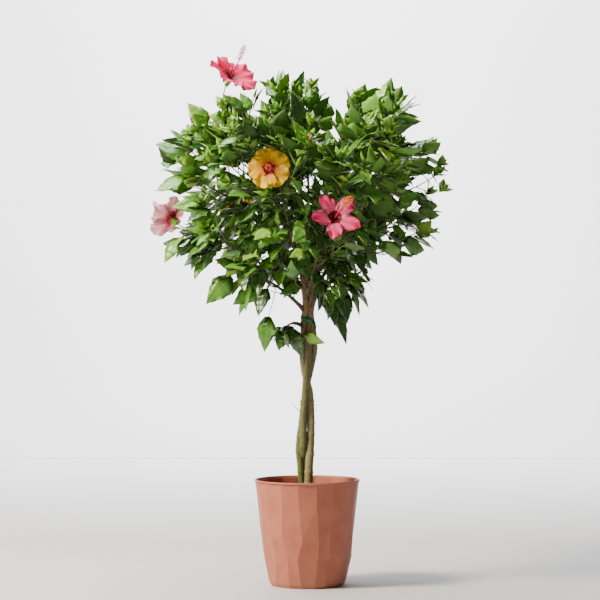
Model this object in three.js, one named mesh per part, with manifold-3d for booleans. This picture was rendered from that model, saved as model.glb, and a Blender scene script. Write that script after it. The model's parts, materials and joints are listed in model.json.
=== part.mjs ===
// Potted hibiscus standard: three shrubs plaited into one trunk, with an open round crown in flower.
// Millimetres, +Z up. The origin is the centre of the pot's flat underside, and +X runs to the right
// as seen from the front, which faces -Y.

import * as THREE from "three";
import { mergeVertices } from "three/addons/utils/BufferGeometryUtils.js";
import Module from "manifold-3d";

const wasm = await Module();
wasm.setup();

const GAP = 0.3; // clearance between pieces that touch
const FINEST = 0.04; // detail smaller than this is smoothed away
const GOLDEN = THREE.MathUtils.degToRad(137.5); // turn from one leaf to the next
const UP = new THREE.Vector3(0, 0, 1);

// Pot: a moulded shell whose tall facets are bounded by wandering ridges
const POT_HEIGHT = 266;
const POT_RIM_RADIUS = 132;
const POT_FOOT_RADIUS = 92;
const POT_SWELL = 0.6; // power of the taper: below 1 the side bulges
const POT_WALL = 4;
const POT_FLOOR = 6;
const POT_LIP = 5; // height of the plain lip above the facets
const POT_RIDGES = 18;
const POT_LEVELS = [0.035, 0.27, 0.5, 0.75]; // heights of the facet corners, as shares of the pot's
const POT_WANDER = { turn: 0.26, height: 0.085, radius: 1.3 }; // in ridge spacings, pot heights, mm
const SOIL_BELOW_RIM = 38;
const SOIL_TOP = POT_HEIGHT - SOIL_BELOW_RIM;

// Trunk: three stems plaited together, spread and pinched in turn
const STEM_FOOT = SOIL_TOP + GAP;
const STEM_TOP = 800;
const STEM_RADII = [[7.6, 6.4], [8.7, 6.8], [9.6, 6.9]]; // foot and top of the left, middle and right stem
const PLAIT = [ // height, then x and y of the left, the middle and the right stem
  [STEM_FOOT, -11, -2, -5, 14, 3, -9],
  [300, -17, -2, -9, 12, 5, -8],
  [345, -21, 6, -9.5, -5, 8, -3],
  [415, -13, 10, -9.5, -8, 9.5, 0],
  [480, -5.5, 14, -5.5, -10, 6.5, 3],
  [515, 2.5, 15.5, -2.5, -14, -1, 0.5],
  [560, 13, 9, 3, -11, -9.5, 3],
  [600, 19, 2, 4.5, -9, -9.5, 3],
  [660, 13, 8, 8, -7, -8, -2],
  [715, 5, 9, 12, -5, -4, -5],
  [STEM_TOP, 6, 14, 22, -4, -14, -6],
];
const ROOT_FLARE = 0.1; // extra radius at the soil, as a share
const FLARE_FADE = 22; // height over which the flare dies away
const TIE_HEIGHT = 668;
const TIE_TILT = 0.36;
const TIE = { width: 10, thick: 1.2, clear: 1.6, steps: 20 };

// Pruned stubs on the stems: stem, height, compass angle in degrees, length, radius
const STUBS = [
  [2, 742, 190, 22, 3.6],
  [1, 752, -12, 26, 3.6],
  [1, 712, 30, 12, 2.8],
  [1, 455, 200, 7, 2.2],
];

// Branches: name, stem it leaves, height where it leaves, far tip x, y, z, and the rise of its bend.
// Each one starts as a bare bough and ends as the leader of a mass of foliage.
const BRANCHES = [
  ["top", 0, STEM_TOP, -2, -25, 1205, 240],
  ["left_top", 2, STEM_TOP, -198, -45, 1158, 195],
  ["right_top", 1, STEM_TOP, 176, -25, 1192, 200],
  ["left_upper", 0, 782, -262, 10, 1108, 120],
  ["right_upper", 1, 782, 226, 20, 1088, 120],
  ["back_top", 0, 760, -30, 170, 1150, 170],
  ["front_left", 2, 778, -90, -190, 1118, 140],
  ["front_right", 1, 764, 98, -180, 1122, 140],
  ["back_left", 0, 738, -165, 170, 1010, 90],
  ["back_right", 1, 744, 145, 190, 1010, 90],
  ["left_side", 2, 750, -262, -62, 908, 70],
  ["right_side", 1, 728, 200, -65, 950, 75],
  ["front_low", 2, 722, 40, -200, 900, 70],
  ["back_low", 0, 716, 10, 200, 890, 70],
  ["low_left", 2, 690, -172, -92, 780, 100],
  ["low_right", 1, 696, 68, -82, 770, 90],
  ["trunk_spur", 2, 650, -62, -48, 640, 25],
];
const BOUGH_RADIUS = 5.6; // where a bough leaves its stem
const TWIG_TIP_RADIUS = 2.0;
const TWIG_BUD = 6; // how far the pointed end of a twig reaches past its last leaf
const BEND_REACH = 0.55; // how far out the bend of a branch lies
const CELL_AT = 0.8; // point of a branch that stands for the middle of its mass
const CELL_MARGIN = 1.2; // how far a leaf stays inside its mass's own space
const LEADER_MARGIN = 7;

// The underside of the crown: its height near the trunk, and how fast it rises further out
const UNDERSIDE = [720, 0.5];
const HANGING_UNDERSIDE = [570, 1]; // the same for the masses that hang
const HANGING = new Set(["left_side", "low_left", "low_right", "trunk_spur"]);
const UNDERSIDE_START = 90; // how far out it begins to rise

// Side shoots of a mass, as shares along its leader and of the shoot length
const SHOOTS = [[0.02, 1.0], [0.18, 1.0], [0.36, 0.9], [0.56, 0.8], [0.76, 0.6]];
const SHOOT_LENGTH = 170;
const FULL_LEADER = 130; // a leader shorter than this has shoots in proportion
const SHOOT_SPREAD = 0.95; // radians away from the leader
const SHOOT_LIFT = 0.24; // how much a shoot curves up, as a share of its length

// Leaves
const LEAF_LENGTH = 98;
const LEAF_SPACING = 32;
const LEAF_WIDTH = 0.74; // share of its length
const LEAF_WIDEST = 0.4;
const LEAF_KEEL = 0.028;
const LEAF_APART = 0.3; // least distance between leaf middles, as a share of the length
const STALK_LENGTH = 20;
const LEAF_ROOT = 0.8; // how far past the middle of its twig a leaf starts
const TIP_LEAVES = 3;
const PERK = { most: 0.8, from: 780, over: 320 }; // leaves hang less from this height up

// Blooms: the mass that bears it, x, y, z of the throat, facing direction, diameter
const BLOOMS = [
  ["left_top", [-190, -66, 1276], [0.46, -0.5, 0.73], 132],
  ["front_left", [-92, -250, 1032], [-0.1, -0.95, 0.22], 104],
  ["front_low", [66, -270, 914], [0.2, -0.9, 0.34], 126],
  ["left_side", [-341, -56, 921], [-0.66, 0.56, 0.5], 112],
  ["back_right", [140, 265, 1010], [0.35, 0.86, 0.35], 108],
  ["back_left", [-180, 245, 950], [-0.45, 0.85, 0.22], 104],
];
const CALYX_LENGTH = 30;
const PETALS = 5;
const PETAL_OPEN = 1.2; // radians between a petal and the bloom's axis
const PETAL_RINGS = [[0.2, 0.12, 2.6], [0.42, 0.225, 2.2]]; // reach and half width in diameters, keel in mm
const BUD = { length: 30, radius: 6, stalk: 16, widest: 26 };
const BUDS_ON = new Set([
  "top", "left_top", "right_top", "left_upper", "right_upper", "back_top", "front_left", "front_right",
  "back_right", "right_side",
]);

// A plain congruential sequence, so that the plant grows the same way every time
function drawsFrom(seed) {
  let state = seed >>> 0;
  return () => {
    state = (Math.imul(state, 1664525) + 1013904223) >>> 0;
    return state / 4294967296;
  };
}

const vec = (x, y, z) => new THREE.Vector3(x, y, z);
const mix = (a, b, t) => a + (b - a) * t;
const along = (p, d, s) => p.clone().addScaledVector(d, s);

// A sum of vectors, each with its weight, brought to length 1
function blend(...terms) {
  const sum = vec(0, 0, 0);
  for (const [v, weight] of terms) sum.addScaledVector(v, weight);
  return sum.normalize();
}

// The direction at right angles to an axis that lies at a given angle round it
function roundAxis(axis, angle) {
  const side = new THREE.Vector3().crossVectors(axis, UP);
  if (side.length() < 0.05) side.set(1, 0, 0);
  side.normalize();
  const front = new THREE.Vector3().crossVectors(side, axis);
  return blend([side, Math.cos(angle)], [front, Math.sin(angle)]);
}

// A closed skin over rings of points, each ring turning anticlockwise as seen from the far end.
// It closes on a root and a tip where they are given, and otherwise with flat ends.
function skin(rings, tip, root) {
  const n = rings[0].length;
  const points = rings.flat().concat(tip ? [tip] : [], root ? [root] : []);
  const faces = [];
  const last = (rings.length - 1) * n;
  if (root) for (let k = 0; k < n; k++) faces.push(points.length - 1, (k + 1) % n, k);
  else for (let k = 1; k < n - 1; k++) faces.push(0, k + 1, k);
  for (let j = 0; j < rings.length - 1; j++) {
    for (let k = 0; k < n; k++) {
      const a = j * n + k;
      const b = j * n + ((k + 1) % n);
      faces.push(a, b, a + n, b, b + n, a + n);
    }
  }
  const end = rings.length * n;
  if (tip) for (let k = 0; k < n; k++) faces.push(last + k, last + ((k + 1) % n), end);
  else for (let k = 1; k < n - 1; k++) faces.push(last, last + k, last + k + 1);
  const geometry = new THREE.BufferGeometry().setFromPoints(points);
  return geometry.setIndex(faces);
}

// Evenly spaced points of a curve, with its direction at each
function walk(curve, t0, t1, count) {
  const stops = [];
  for (let k = 0; k <= count; k++) {
    const t = mix(t0, t1, k / count);
    stops.push({ t, p: curve.getPoint(t), d: curve.getTangent(t) });
  }
  return stops;
}

// A limb as rings square to its curve
function ringsAlong(stops, radiusAt, sides) {
  const turn = (-2 * Math.PI) / sides;
  return stops.map(({ t, p, d }) => (
    Array.from({ length: sides }, (_, k) => along(p, roundAxis(d, k * turn), radiusAt(t)))
  ));
}

function solid(geometry) {
  geometry.deleteAttribute("normal");
  geometry.deleteAttribute("uv"); // the seams of a texture would keep shared corners apart
  const merged = mergeVertices(geometry, 1e-4);
  return new wasm.Manifold(new wasm.Mesh({
    numProp: 3,
    vertProperties: new Float32Array(merged.attributes.position.array),
    triVerts: new Uint32Array(merged.index.array),
  }));
}

// Joins solids two by two, which keeps each step small
function join(solids) {
  let row = solids;
  while (row.length > 1) {
    const pairs = [];
    for (let i = 0; i < row.length; i += 2) {
      pairs.push(i + 1 < row.length ? row[i].add(row[i + 1]) : row[i]);
    }
    row = pairs;
  }
  return row[0];
}

// The largest body of a solid, without its sealed hollows and loose scraps
function largest(made) {
  return made.decompose().reduce((a, b) => (b.volume() > a.volume() ? b : a));
}

function geometryOf(made) {
  const mesh = made.simplify(FINEST).getMesh();
  const points = new Float32Array(mesh.numVert * 3);
  for (let i = 0; i < mesh.numVert; i++) {
    for (let k = 0; k < 3; k++) points[3 * i + k] = mesh.vertProperties[mesh.numProp * i + k];
  }
  const geometry = new THREE.BufferGeometry();
  geometry.setAttribute("position", new THREE.BufferAttribute(points, 3));
  geometry.setIndex(new THREE.BufferAttribute(new Uint32Array(mesh.triVerts), 1));
  return geometry;
}

const plant = new THREE.Group();
plant.name = "hibiscus_standard";

function addPiece(name, made, colour, roughness) {
  const material = new THREE.MeshStandardMaterial({ color: colour, roughness, metalness: 0 });
  const geometry = geometryOf(made);
  geometry.computeVertexNormals();
  const mesh = new THREE.Mesh(geometry, material);
  mesh.name = name;
  plant.add(mesh);
}

// Pot and soil

function potRadius(share) {
  return mix(POT_FOOT_RADIUS, POT_RIM_RADIUS, Math.pow(share, POT_SWELL));
}

// The facet corners, level by level, each with its own small wander
function potCorners() {
  const draw = drawsFrom(41);
  const spacing = (2 * Math.PI) / POT_RIDGES;
  return POT_LEVELS.map((level, row) => {
    const corners = [];
    const loose = row === 0 ? 0 : 1; // the lowest row stays level
    for (let k = 0; k < POT_RIDGES; k++) {
      const turn = (k + (draw() - 0.5) * 2 * POT_WANDER.turn) * spacing;
      const share = level + (draw() - 0.5) * 2 * POT_WANDER.height * loose;
      const radius = potRadius(share) + (draw() - 0.5) * 2 * POT_WANDER.radius * loose;
      corners.push({ turn, radius, z: share * POT_HEIGHT });
    }
    return corners;
  });
}

// A facetted cup from a flat foot to a round top, shrunk by an inset and standing on a floor
function facettedCup(inset, floor, topRadius, topHeight) {
  const at = (turn, radius, z) => vec(radius * Math.cos(turn), radius * Math.sin(turn), z);
  const rows = potCorners();
  const n = POT_RIDGES;
  const foot = rows[0].map((c) => at(c.turn, potRadius(0) - inset, floor));
  for (const corner of rows[0]) corner.z += floor;
  const lower = rows.map((row) => row.map((c) => at(c.turn, c.radius - inset, c.z)));
  const points = foot.concat(lower.flat());
  for (const z of [POT_HEIGHT - POT_LIP, topHeight]) {
    for (let k = 0; k < 2 * n; k++) points.push(at((k * Math.PI) / n, topRadius, z));
  }
  const faces = [];
  const levels = lower.length + 1;
  for (let j = 0; j < levels - 1; j++) {
    for (let k = 0; k < n; k++) {
      const a = j * n + k;
      const b = j * n + ((k + 1) % n);
      if ((j + k) % 2) faces.push(a, b, a + n, b, b + n, a + n);
      else faces.push(a, b, b + n, a, b + n, a + n);
    }
  }
  const round = levels * n; // the first corner of the round ring above the facets
  for (let k = 0; k < n; k++) {
    const a = (levels - 1) * n + k;
    const b = (levels - 1) * n + ((k + 1) % n);
    const [u, v, w] = [0, 1, 2].map((step) => round + ((2 * k + step) % (2 * n)));
    faces.push(a, b, v, a, v, u, b, w, v);
  }
  for (let k = 0; k < 2 * n; k++) {
    const a = round + k;
    const b = round + ((k + 1) % (2 * n));
    faces.push(a, b, a + 2 * n, b, b + 2 * n, a + 2 * n);
  }
  for (let k = 1; k < n - 1; k++) faces.push(0, k + 1, k);
  const top = round + 2 * n;
  for (let k = 1; k < 2 * n - 1; k++) faces.push(top, top + k, top + k + 1);
  return solid(new THREE.BufferGeometry().setFromPoints(points).setIndex(faces));
}

function addPotAndSoil() {
  const above = 20; // the hollow is cut from above the rim
  const outer = facettedCup(0, 0, POT_RIM_RADIUS, POT_HEIGHT);
  const inside = POT_RIM_RADIUS - POT_WALL;
  const ease = 2 * GAP;
  const hollow = facettedCup(POT_WALL, POT_FLOOR, inside, POT_HEIGHT + above);
  const fill = facettedCup(POT_WALL + ease, POT_FLOOR + GAP, inside - ease, POT_HEIGHT + above);
  const side = 3 * POT_RIM_RADIUS;
  const belowTop = new THREE.BoxGeometry(side, side, SOIL_TOP).translate(0, 0, SOIL_TOP / 2);
  addPiece("pot", outer.subtract(hollow), 0xb9745f, 0.62);
  addPiece("soil", fill.intersect(solid(belowTop)), 0x3b2b20, 0.95);
}

// Trunk

// One column of the plait, carried smoothly from height to height
function plaitAt(column, z) {
  const last = PLAIT.length - 2;
  let i = 0;
  while (i < last && z > PLAIT[i + 1][0]) i++;
  const slope = (k) => {
    const below = PLAIT[Math.max(k - 1, 0)];
    const above = PLAIT[Math.min(k + 1, last + 1)];
    return (above[column] - below[column]) / (above[0] - below[0]);
  };
  const span = PLAIT[i + 1][0] - PLAIT[i][0];
  const t = (z - PLAIT[i][0]) / span;
  const rest = 1 - t;
  const from = PLAIT[i][column] * (1 + 2 * t) + slope(i) * span * t;
  const to = PLAIT[i + 1][column] * (1 + 2 * rest) - slope(i + 1) * span * rest;
  return from * rest * rest + to * t * t;
}

function stemPoint(stem, z) {
  return vec(plaitAt(2 * stem + 1, z), plaitAt(2 * stem + 2, z), z);
}

function stemRadius(stem, z) {
  const [foot, top] = STEM_RADII[stem];
  const share = (z - STEM_FOOT) / (STEM_TOP - STEM_FOOT);
  return mix(foot, top, share) * (1 + ROOT_FLARE * Math.exp(-(z - STEM_FOOT) / FLARE_FADE));
}

// A stem as rings that stay level, so that its foot and top are flat cuts
function stemSolid(stem, extra) {
  const sides = 7;
  const steps = 22;
  const rings = [];
  for (let j = 0; j <= steps; j++) {
    const z = mix(STEM_FOOT, STEM_TOP, j / steps);
    const centre = stemPoint(stem, z);
    const radius = stemRadius(stem, z) + extra;
    rings.push(Array.from({ length: sides }, (_, k) => {
      const turn = (2 * Math.PI * k) / sides;
      return vec(centre.x + radius * Math.cos(turn), centre.y + radius * Math.sin(turn), z);
    }));
  }
  return solid(skin(rings));
}

function stubSolid([stem, z, compass, length, radius]) {
  const turn = THREE.MathUtils.degToRad(compass);
  const out = blend([vec(Math.cos(turn), Math.sin(turn), 0), 0.8], [UP, 0.6]);
  const foot = stemPoint(stem, z);
  const end = along(foot, out, stemRadius(stem, z) + length);
  const stops = walk(new THREE.LineCurve3(foot, end), 0, 1, 1);
  return solid(skin(ringsAlong(stops, (t) => mix(radius, 0.7 * radius, t), 5)));
}

// The tie: a ribbon round the three stems, sloping down to the right
function tieSolid(extra) {
  const width = TIE.width + 2 * extra;
  const thick = TIE.thick + 2 * extra;
  const clear = TIE.clear - extra;
  const steps = TIE.steps;
  const outline = (turn, z, reach) => {
    const normal = vec(Math.cos(turn), Math.sin(turn), 0);
    const reachOf = (s) => stemPoint(s, z).dot(normal) + stemRadius(s, z);
    const stem = [0, 1, 2].reduce((a, b) => (reachOf(b) > reachOf(a) ? b : a));
    return along(stemPoint(stem, z), normal, stemRadius(stem, z) + reach);
  };
  const points = [];
  for (let j = 0; j < steps; j++) {
    const turn = (2 * Math.PI * j) / steps;
    const middle = TIE_HEIGHT - TIE_TILT * 20 * Math.cos(turn);
    for (const [dz, reach] of [[-1, clear], [-1, clear + thick], [1, clear + thick], [1, clear]]) {
      const p = outline(turn, TIE_HEIGHT, reach);
      points.push(p.setZ(middle + (dz * width) / 2));
    }
  }
  const faces = [];
  for (let j = 0; j < steps; j++) {
    for (let k = 0; k < 4; k++) {
      const a = 4 * j + k;
      const b = 4 * j + ((k + 1) % 4);
      const c = 4 * ((j + 1) % steps) + k;
      const d = 4 * ((j + 1) % steps) + ((k + 1) % 4);
      faces.push(a, c, b, b, c, d);
    }
  }
  return solid(new THREE.BufferGeometry().setFromPoints(points).setIndex(faces));
}

// Boughs

const branches = BRANCHES.map(([name, stem, from, x, y, z, rise]) => {
  const foot = stemPoint(stem, Math.min(from, STEM_TOP));
  if (from >= STEM_TOP) foot.z += GAP;
  const tip = vec(x, y, z);
  const bend = vec(mix(foot.x, x, BEND_REACH), mix(foot.y, y, BEND_REACH), foot.z + rise);
  if (from >= STEM_TOP) bend.set(mix(foot.x, x, 0.35), mix(foot.y, y, 0.35), foot.z + rise);
  return { name, foot, tip, curve: new THREE.QuadraticBezierCurve3(foot, bend, tip) };
});
for (const branch of branches) branch.cell = branch.curve.getPoint(CELL_AT);

// A branch's own space lies nearer to its cell point than to any other
function inCell(branch, p, margin) {
  return branches.every((other) => {
    if (other === branch) return true;
    const across = other.cell.clone().sub(branch.cell);
    const apart = across.length();
    const middle = branch.cell.clone().add(other.cell).multiplyScalar(0.5);
    return p.clone().sub(middle).dot(across) / apart <= -margin;
  });
}

// The share of a branch where its leader comes into its own space for good
for (const branch of branches) {
  const steps = 100;
  let entry = steps;
  while (entry > 0 && inCell(branch, branch.curve.getPoint((entry - 1) / steps), LEADER_MARGIN)) entry--;
  branch.entry = Math.max(0.34, entry / steps);
}

const branchRadius = (t) => mix(BOUGH_RADIUS, TWIG_TIP_RADIUS, Math.pow(t, 0.8));

const limbPoints = []; // points on the bare limbs that leaves and shoots keep clear of
for (let stem = 0; stem < 3; stem++) {
  for (let z = STEM_FOOT; z <= STEM_TOP; z += 6) {
    limbPoints.push({ p: stemPoint(stem, z), r: stemRadius(stem, z) });
  }
}
for (const { curve, entry } of branches) {
  for (const { t, p } of walk(curve, 0, entry, 60)) limbPoints.push({ p, r: branchRadius(t) });
}

function boughSolid(branch, extra) {
  const stops = walk(branch.curve, 0, branch.entry, 4);
  return solid(skin(ringsAlong(stops, (t) => branchRadius(t) + extra, 5)));
}

// Foliage

const crownOut = (p) => blend([vec(p.x, p.y, 0.7 * (p.z - 930)), 1]);

const perkAt = (p) => PERK.most * Math.min(1, Math.max(0, (p.z - PERK.from) / PERK.over));

// The height below which nothing of a branch grows
function lowestAt(branch, p) {
  const [base, rise] = HANGING.has(branch.name) ? HANGING_UNDERSIDE : UNDERSIDE;
  return base + rise * Math.max(0, Math.hypot(p.x, p.y) - UNDERSIDE_START);
}

// The frame of a leaf: its stalk, and the direction, width and face of its blade
function leafAt(node, axis, angle, length, droop, roll) {
  const away = roundAxis(axis, angle);
  const out = crownOut(node);
  const stalk = blend([away, 0.85], [axis, 0.5]);
  const base = along(node, stalk, STALK_LENGTH * (length / LEAF_LENGTH));
  const d = blend([away, 0.55], [axis, 0.12], [out, 0.6], [UP, -droop]);
  const side = new THREE.Vector3().crossVectors(d, UP);
  const face = blend([UP, 0.7], [out, 0.6], [side, roll]);
  const n = blend([face, 1], [d, -face.dot(d)]);
  const w = new THREE.Vector3().crossVectors(n, d);
  return { node, stalk, base, d, n, w, length };
}

function leafCorners({ base, d, n, w, length }) {
  const half = (LEAF_WIDTH * length) / 2;
  const middle = along(along(base, d, LEAF_WIDEST * length), n, 0.02 * length);
  const tip = along(along(base, d, 0.98 * length), n, -0.14 * length);
  const right = along(middle, w, half);
  const left = along(middle, w, -half);
  const keel = along(middle, n, -LEAF_KEEL * length);
  return { middle, right, left, keel, tip };
}

function leafTouchesLimb(leaf) {
  const clear = 2.5;
  const near = 20; // its own twig, about the point where it starts
  return limbPoints.concat(clothedTwigs).some(({ p, r }) => {
    if (p.distanceTo(leaf.node) < near) return false;
    const v = p.clone().sub(leaf.base);
    const reach = r + clear;
    const u = v.dot(leaf.d);
    if (u < -reach || u > leaf.length + reach) return false;
    if (Math.abs(v.dot(leaf.n)) > reach + 0.1 * leaf.length) return false;
    const share = Math.min(1, Math.max(0, u / leaf.length));
    const taper = share < LEAF_WIDEST ? share / LEAF_WIDEST : (1 - share) / (1 - LEAF_WIDEST);
    return Math.abs(v.dot(leaf.w)) < (LEAF_WIDTH * leaf.length * taper) / 2 + reach;
  });
}

const grownLeaves = [];
const clothedTwigs = []; // points on the twigs of the mass that is growing
const bloomPoints = BLOOMS.map(([, at, facing, diameter]) => ({
  p: along(vec(...at), vec(...facing).normalize(), 0.2 * diameter), r: 0.5 * diameter,
}));

// Whether the line from p to q passes through the triangle a, b, c
function pierces(p, q, [a, b, c]) {
  const ab = b.clone().sub(a);
  const ac = c.clone().sub(a);
  const normal = new THREE.Vector3().crossVectors(ab, ac);
  const before = normal.dot(p.clone().sub(a));
  const after = normal.dot(q.clone().sub(a));
  if (before * after >= 0) return false;
  const hit = p.clone().lerp(q, before / (before - after)).sub(a);
  const across = normal.lengthSq();
  const u = new THREE.Vector3().crossVectors(hit, ac).dot(normal) / across;
  const v = new THREE.Vector3().crossVectors(ab, hit).dot(normal) / across;
  return u >= 0 && v >= 0 && u + v <= 1;
}

const leafEdges = ({ from, right, left, tip }) => (
  [[from, right], [right, tip], [tip, left], [left, from], [from, tip]]);
const leafHalves = ({ from, right, left, tip }) => [[from, right, tip], [from, tip, left]];

// Leaves cross where an edge of either passes through a half of the other
function leavesCross(one, other) {
  if (one.centre.distanceTo(other.centre) > 0.65 * (one.length + other.length)) return false;
  const through = (a, b) => (
    leafEdges(a).some(([p, q]) => leafHalves(b).some((half) => pierces(p, q, half))));
  return through(one, other) || through(other, one);
}

// Whether a leaf keeps to its own space and clear of leaves, blooms and limbs; if so it is kept
function leafFits(branch, leaf) {
  const { middle, right, left, keel, tip } = leafCorners(leaf);
  if ([tip, right, left].some((p) => p.z < lowestAt(branch, p))) return false;
  if (![right, left, keel, tip, leaf.base].every((p) => inCell(branch, p, CELL_MARGIN))) return false;
  const apart = LEAF_APART * leaf.length;
  const centre = along(leaf.base, leaf.d, 0.5 * leaf.length);
  const outline = { from: along(leaf.node, leaf.stalk, 3), right, left, tip, centre, length: leaf.length };
  if (grownLeaves.some((other) => other.centre.distanceTo(centre) < apart)) return false;
  if (grownLeaves.some((other) => leavesCross(outline, other))) return false;
  const corners = [middle, tip, right, left];
  if (bloomPoints.some(({ p, r }) => corners.some((q) => q.distanceTo(p) < r))) return false;
  if (leafTouchesLimb(leaf)) return false;
  grownLeaves.push(outline);
  return true;
}

// Tries a leaf at its own angle, then at others round the twig, and leaves it out if none fits
function placeLeaf(branch, leaves, node, axis, angle, length, droop, roll) {
  const tries = 8;
  for (let k = 0; k < tries; k++) {
    const leaf = leafAt(node, axis, angle + (k * 2 * Math.PI) / tries, length, droop, roll);
    if (leafFits(branch, leaf)) {
      leaves.push(leaf);
      return;
    }
  }
}

// A leaf with its stalk: a keeled kite whose point lies inside the twig
function leafSolid(leaf) {
  const { right, left, keel, tip } = leafCorners(leaf);
  return solid(skin([[right, left, keel]], tip, along(leaf.node, leaf.stalk, -LEAF_ROOT)));
}

// A shoot curves up as it leaves its twig
function shootCurve(node, direction, length) {
  const bend = along(node, direction, 0.5 * length);
  const tip = along(along(node, direction, 0.92 * length), UP, SHOOT_LIFT * length);
  return new THREE.QuadraticBezierCurve3(node, bend, tip);
}

function shootFits(branch, curve) {
  const clear = 5;
  return walk(curve, 0.15, 1, 8).every(({ t, p }) => {
    if (!inCell(branch, p, 4) || p.z < lowestAt(branch, p) + 20) return false;
    if (bloomPoints.some((bloom) => p.distanceTo(bloom.p) < bloom.r + 4)) return false;
    return t < 0.3 || limbPoints.every((limb) => p.distanceTo(limb.p) > limb.r + clear);
  });
}

// Tries a shoot at several angles round the leader, then shorter
function growShoot(branch, node, axis, angle, length) {
  for (const shorter of [1, 0.8, 0.62, 0.46]) {
    for (let k = 0; k < 8; k++) {
      const away = roundAxis(axis, angle + (k * Math.PI) / 4);
      const direction = blend([axis, Math.cos(SHOOT_SPREAD)], [away, Math.sin(SHOOT_SPREAD)]);
      const curve = shootCurve(node, direction, shorter * length);
      if (shootFits(branch, curve)) return curve;
    }
  }
  return null;
}

// Leaves along a twig, with smaller ones in a tuft at its tip
function clothe(branch, leaves, curve, t0, size, draw) {
  const span = curve.getLength() * (1 - t0);
  const count = Math.max(2, Math.round(span / LEAF_SPACING));
  let angle = draw() * 2 * Math.PI;
  for (let k = 0; k < count; k++) {
    const t = mix(t0, 1, (k + 0.55) / count);
    const length = size * mix(0.78, 1.1, draw()) * (k > count - 2 ? 0.85 : 1);
    const node = curve.getPoint(t);
    const droop = mix(0.1, 1.2, draw()) - perkAt(node);
    const roll = mix(-0.8, 0.8, draw());
    placeLeaf(branch, leaves, node, curve.getTangent(t), angle, length, droop, roll);
    angle += GOLDEN;
  }
  for (let k = 0; k < TIP_LEAVES; k++) {
    const node = curve.getPoint(1 - (3 + 6 * k) / span);
    const length = size * mix(0.5, 0.75, draw());
    const droop = mix(-0.4, 0.5, draw());
    placeLeaf(branch, leaves, node, curve.getTangent(1), angle, length, droop, 0);
    angle += (2 * Math.PI) / TIP_LEAVES;
  }
}

// A pointed bud on a short stalk
function budSolid(node, axis, away) {
  const d = blend([axis, 1], [away, 0.45]);
  const across = new THREE.Vector3().crossVectors(d, away).normalize();
  const face = new THREE.Vector3().crossVectors(d, across);
  const middle = along(node, d, BUD.widest);
  const ring = [[across, 1], [face, 1], [across, -1], [face, -1]].map(([side, sign]) => (
    along(middle, side, sign * BUD.radius)));
  return solid(skin([ring], along(node, d, BUD.stalk + BUD.length), node));
}

// One petal: narrow at the throat, broadest near its end, with a keel behind
function petalSolid(throat, facing, away, diameter) {
  const d = blend([facing, Math.cos(PETAL_OPEN)], [away, Math.sin(PETAL_OPEN)]);
  const across = new THREE.Vector3().crossVectors(facing, away);
  const front = new THREE.Vector3().crossVectors(d, across);
  const ring = ([reach, half, keel]) => {
    const p = along(throat, d, reach * diameter);
    return [along(p, front, -keel), along(p, across, -half * diameter), along(p, across, half * diameter)];
  };
  const tip = along(along(throat, d, 0.53 * diameter), front, -0.02 * diameter);
  return solid(skin(PETAL_RINGS.map(ring), tip, along(throat, facing, -4)));
}

// A bloom: five petals, the long column with its anthers, and the calyx on a flower stalk
function bloomSolids([, at, towards, diameter], twig) {
  const facing = vec(...towards).normalize();
  const throat = vec(...at);
  const parts = [];
  for (let k = 0; k < PETALS; k++) {
    const away = roundAxis(facing, (k * 2 * Math.PI) / PETALS + 0.4);
    parts.push(petalSolid(throat, facing, away, diameter));
  }
  const ring = (reach, radius, sides) => {
    const stop = { t: 0, p: along(throat, facing, reach), d: facing };
    return ringsAlong([stop], () => radius, sides)[0];
  };
  const anthers = ring(0.5 * diameter, 4.5, 4);
  parts.push(solid(skin([anthers], along(throat, facing, 0.66 * diameter), along(throat, facing, -6))));
  parts.push(solid(skin([ring(-CALYX_LENGTH, 2.6, 5), ring(-4, 9, 5)], along(throat, facing, 8))));
  const seat = along(throat, facing, 2 - CALYX_LENGTH);
  const bend = along(seat, facing, -0.35 * twig.distanceTo(seat));
  const stalk = new THREE.QuadraticBezierCurve3(twig, bend, seat);
  parts.push(solid(skin(ringsAlong(walk(stalk, 0, 1, 3), () => 2.1, 3))));
  return parts;
}

// The leader of a mass and the shoots that spring from it
function growTwigs(branch, vigour, draw) {
  const leader = branch.curve;
  const twigs = [{ curve: leader, t0: branch.entry, radiusAt: (t) => 1.25 * branchRadius(t) }];
  const shoots = vigour < 0.6 ? [] : SHOOTS;
  shoots.forEach(([share, size], k) => {
    const t = mix(branch.entry, 1, share);
    const angle = k * GOLDEN + draw() * Math.PI;
    const length = size * vigour * SHOOT_LENGTH;
    const curve = growShoot(branch, leader.getPoint(t), leader.getTangent(t), angle, length);
    if (curve) twigs.push({ curve, t0: 0, radiusAt: (s) => mix(3.4, 2.2, s) });
  });
  return twigs;
}

function twigSolid({ curve, t0, radiusAt }, isLeader) {
  const stops = walk(curve, isLeader ? t0 : 0.1, 0.97, isLeader ? 3 : 2);
  if (isLeader) stops[0].p.addScaledVector(stops[0].d, GAP);
  const tip = along(curve.getPoint(1), curve.getTangent(1), TWIG_BUD);
  return solid(skin(ringsAlong(stops, radiusAt, 3), tip, isLeader ? null : curve.getPoint(0)));
}

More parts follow.
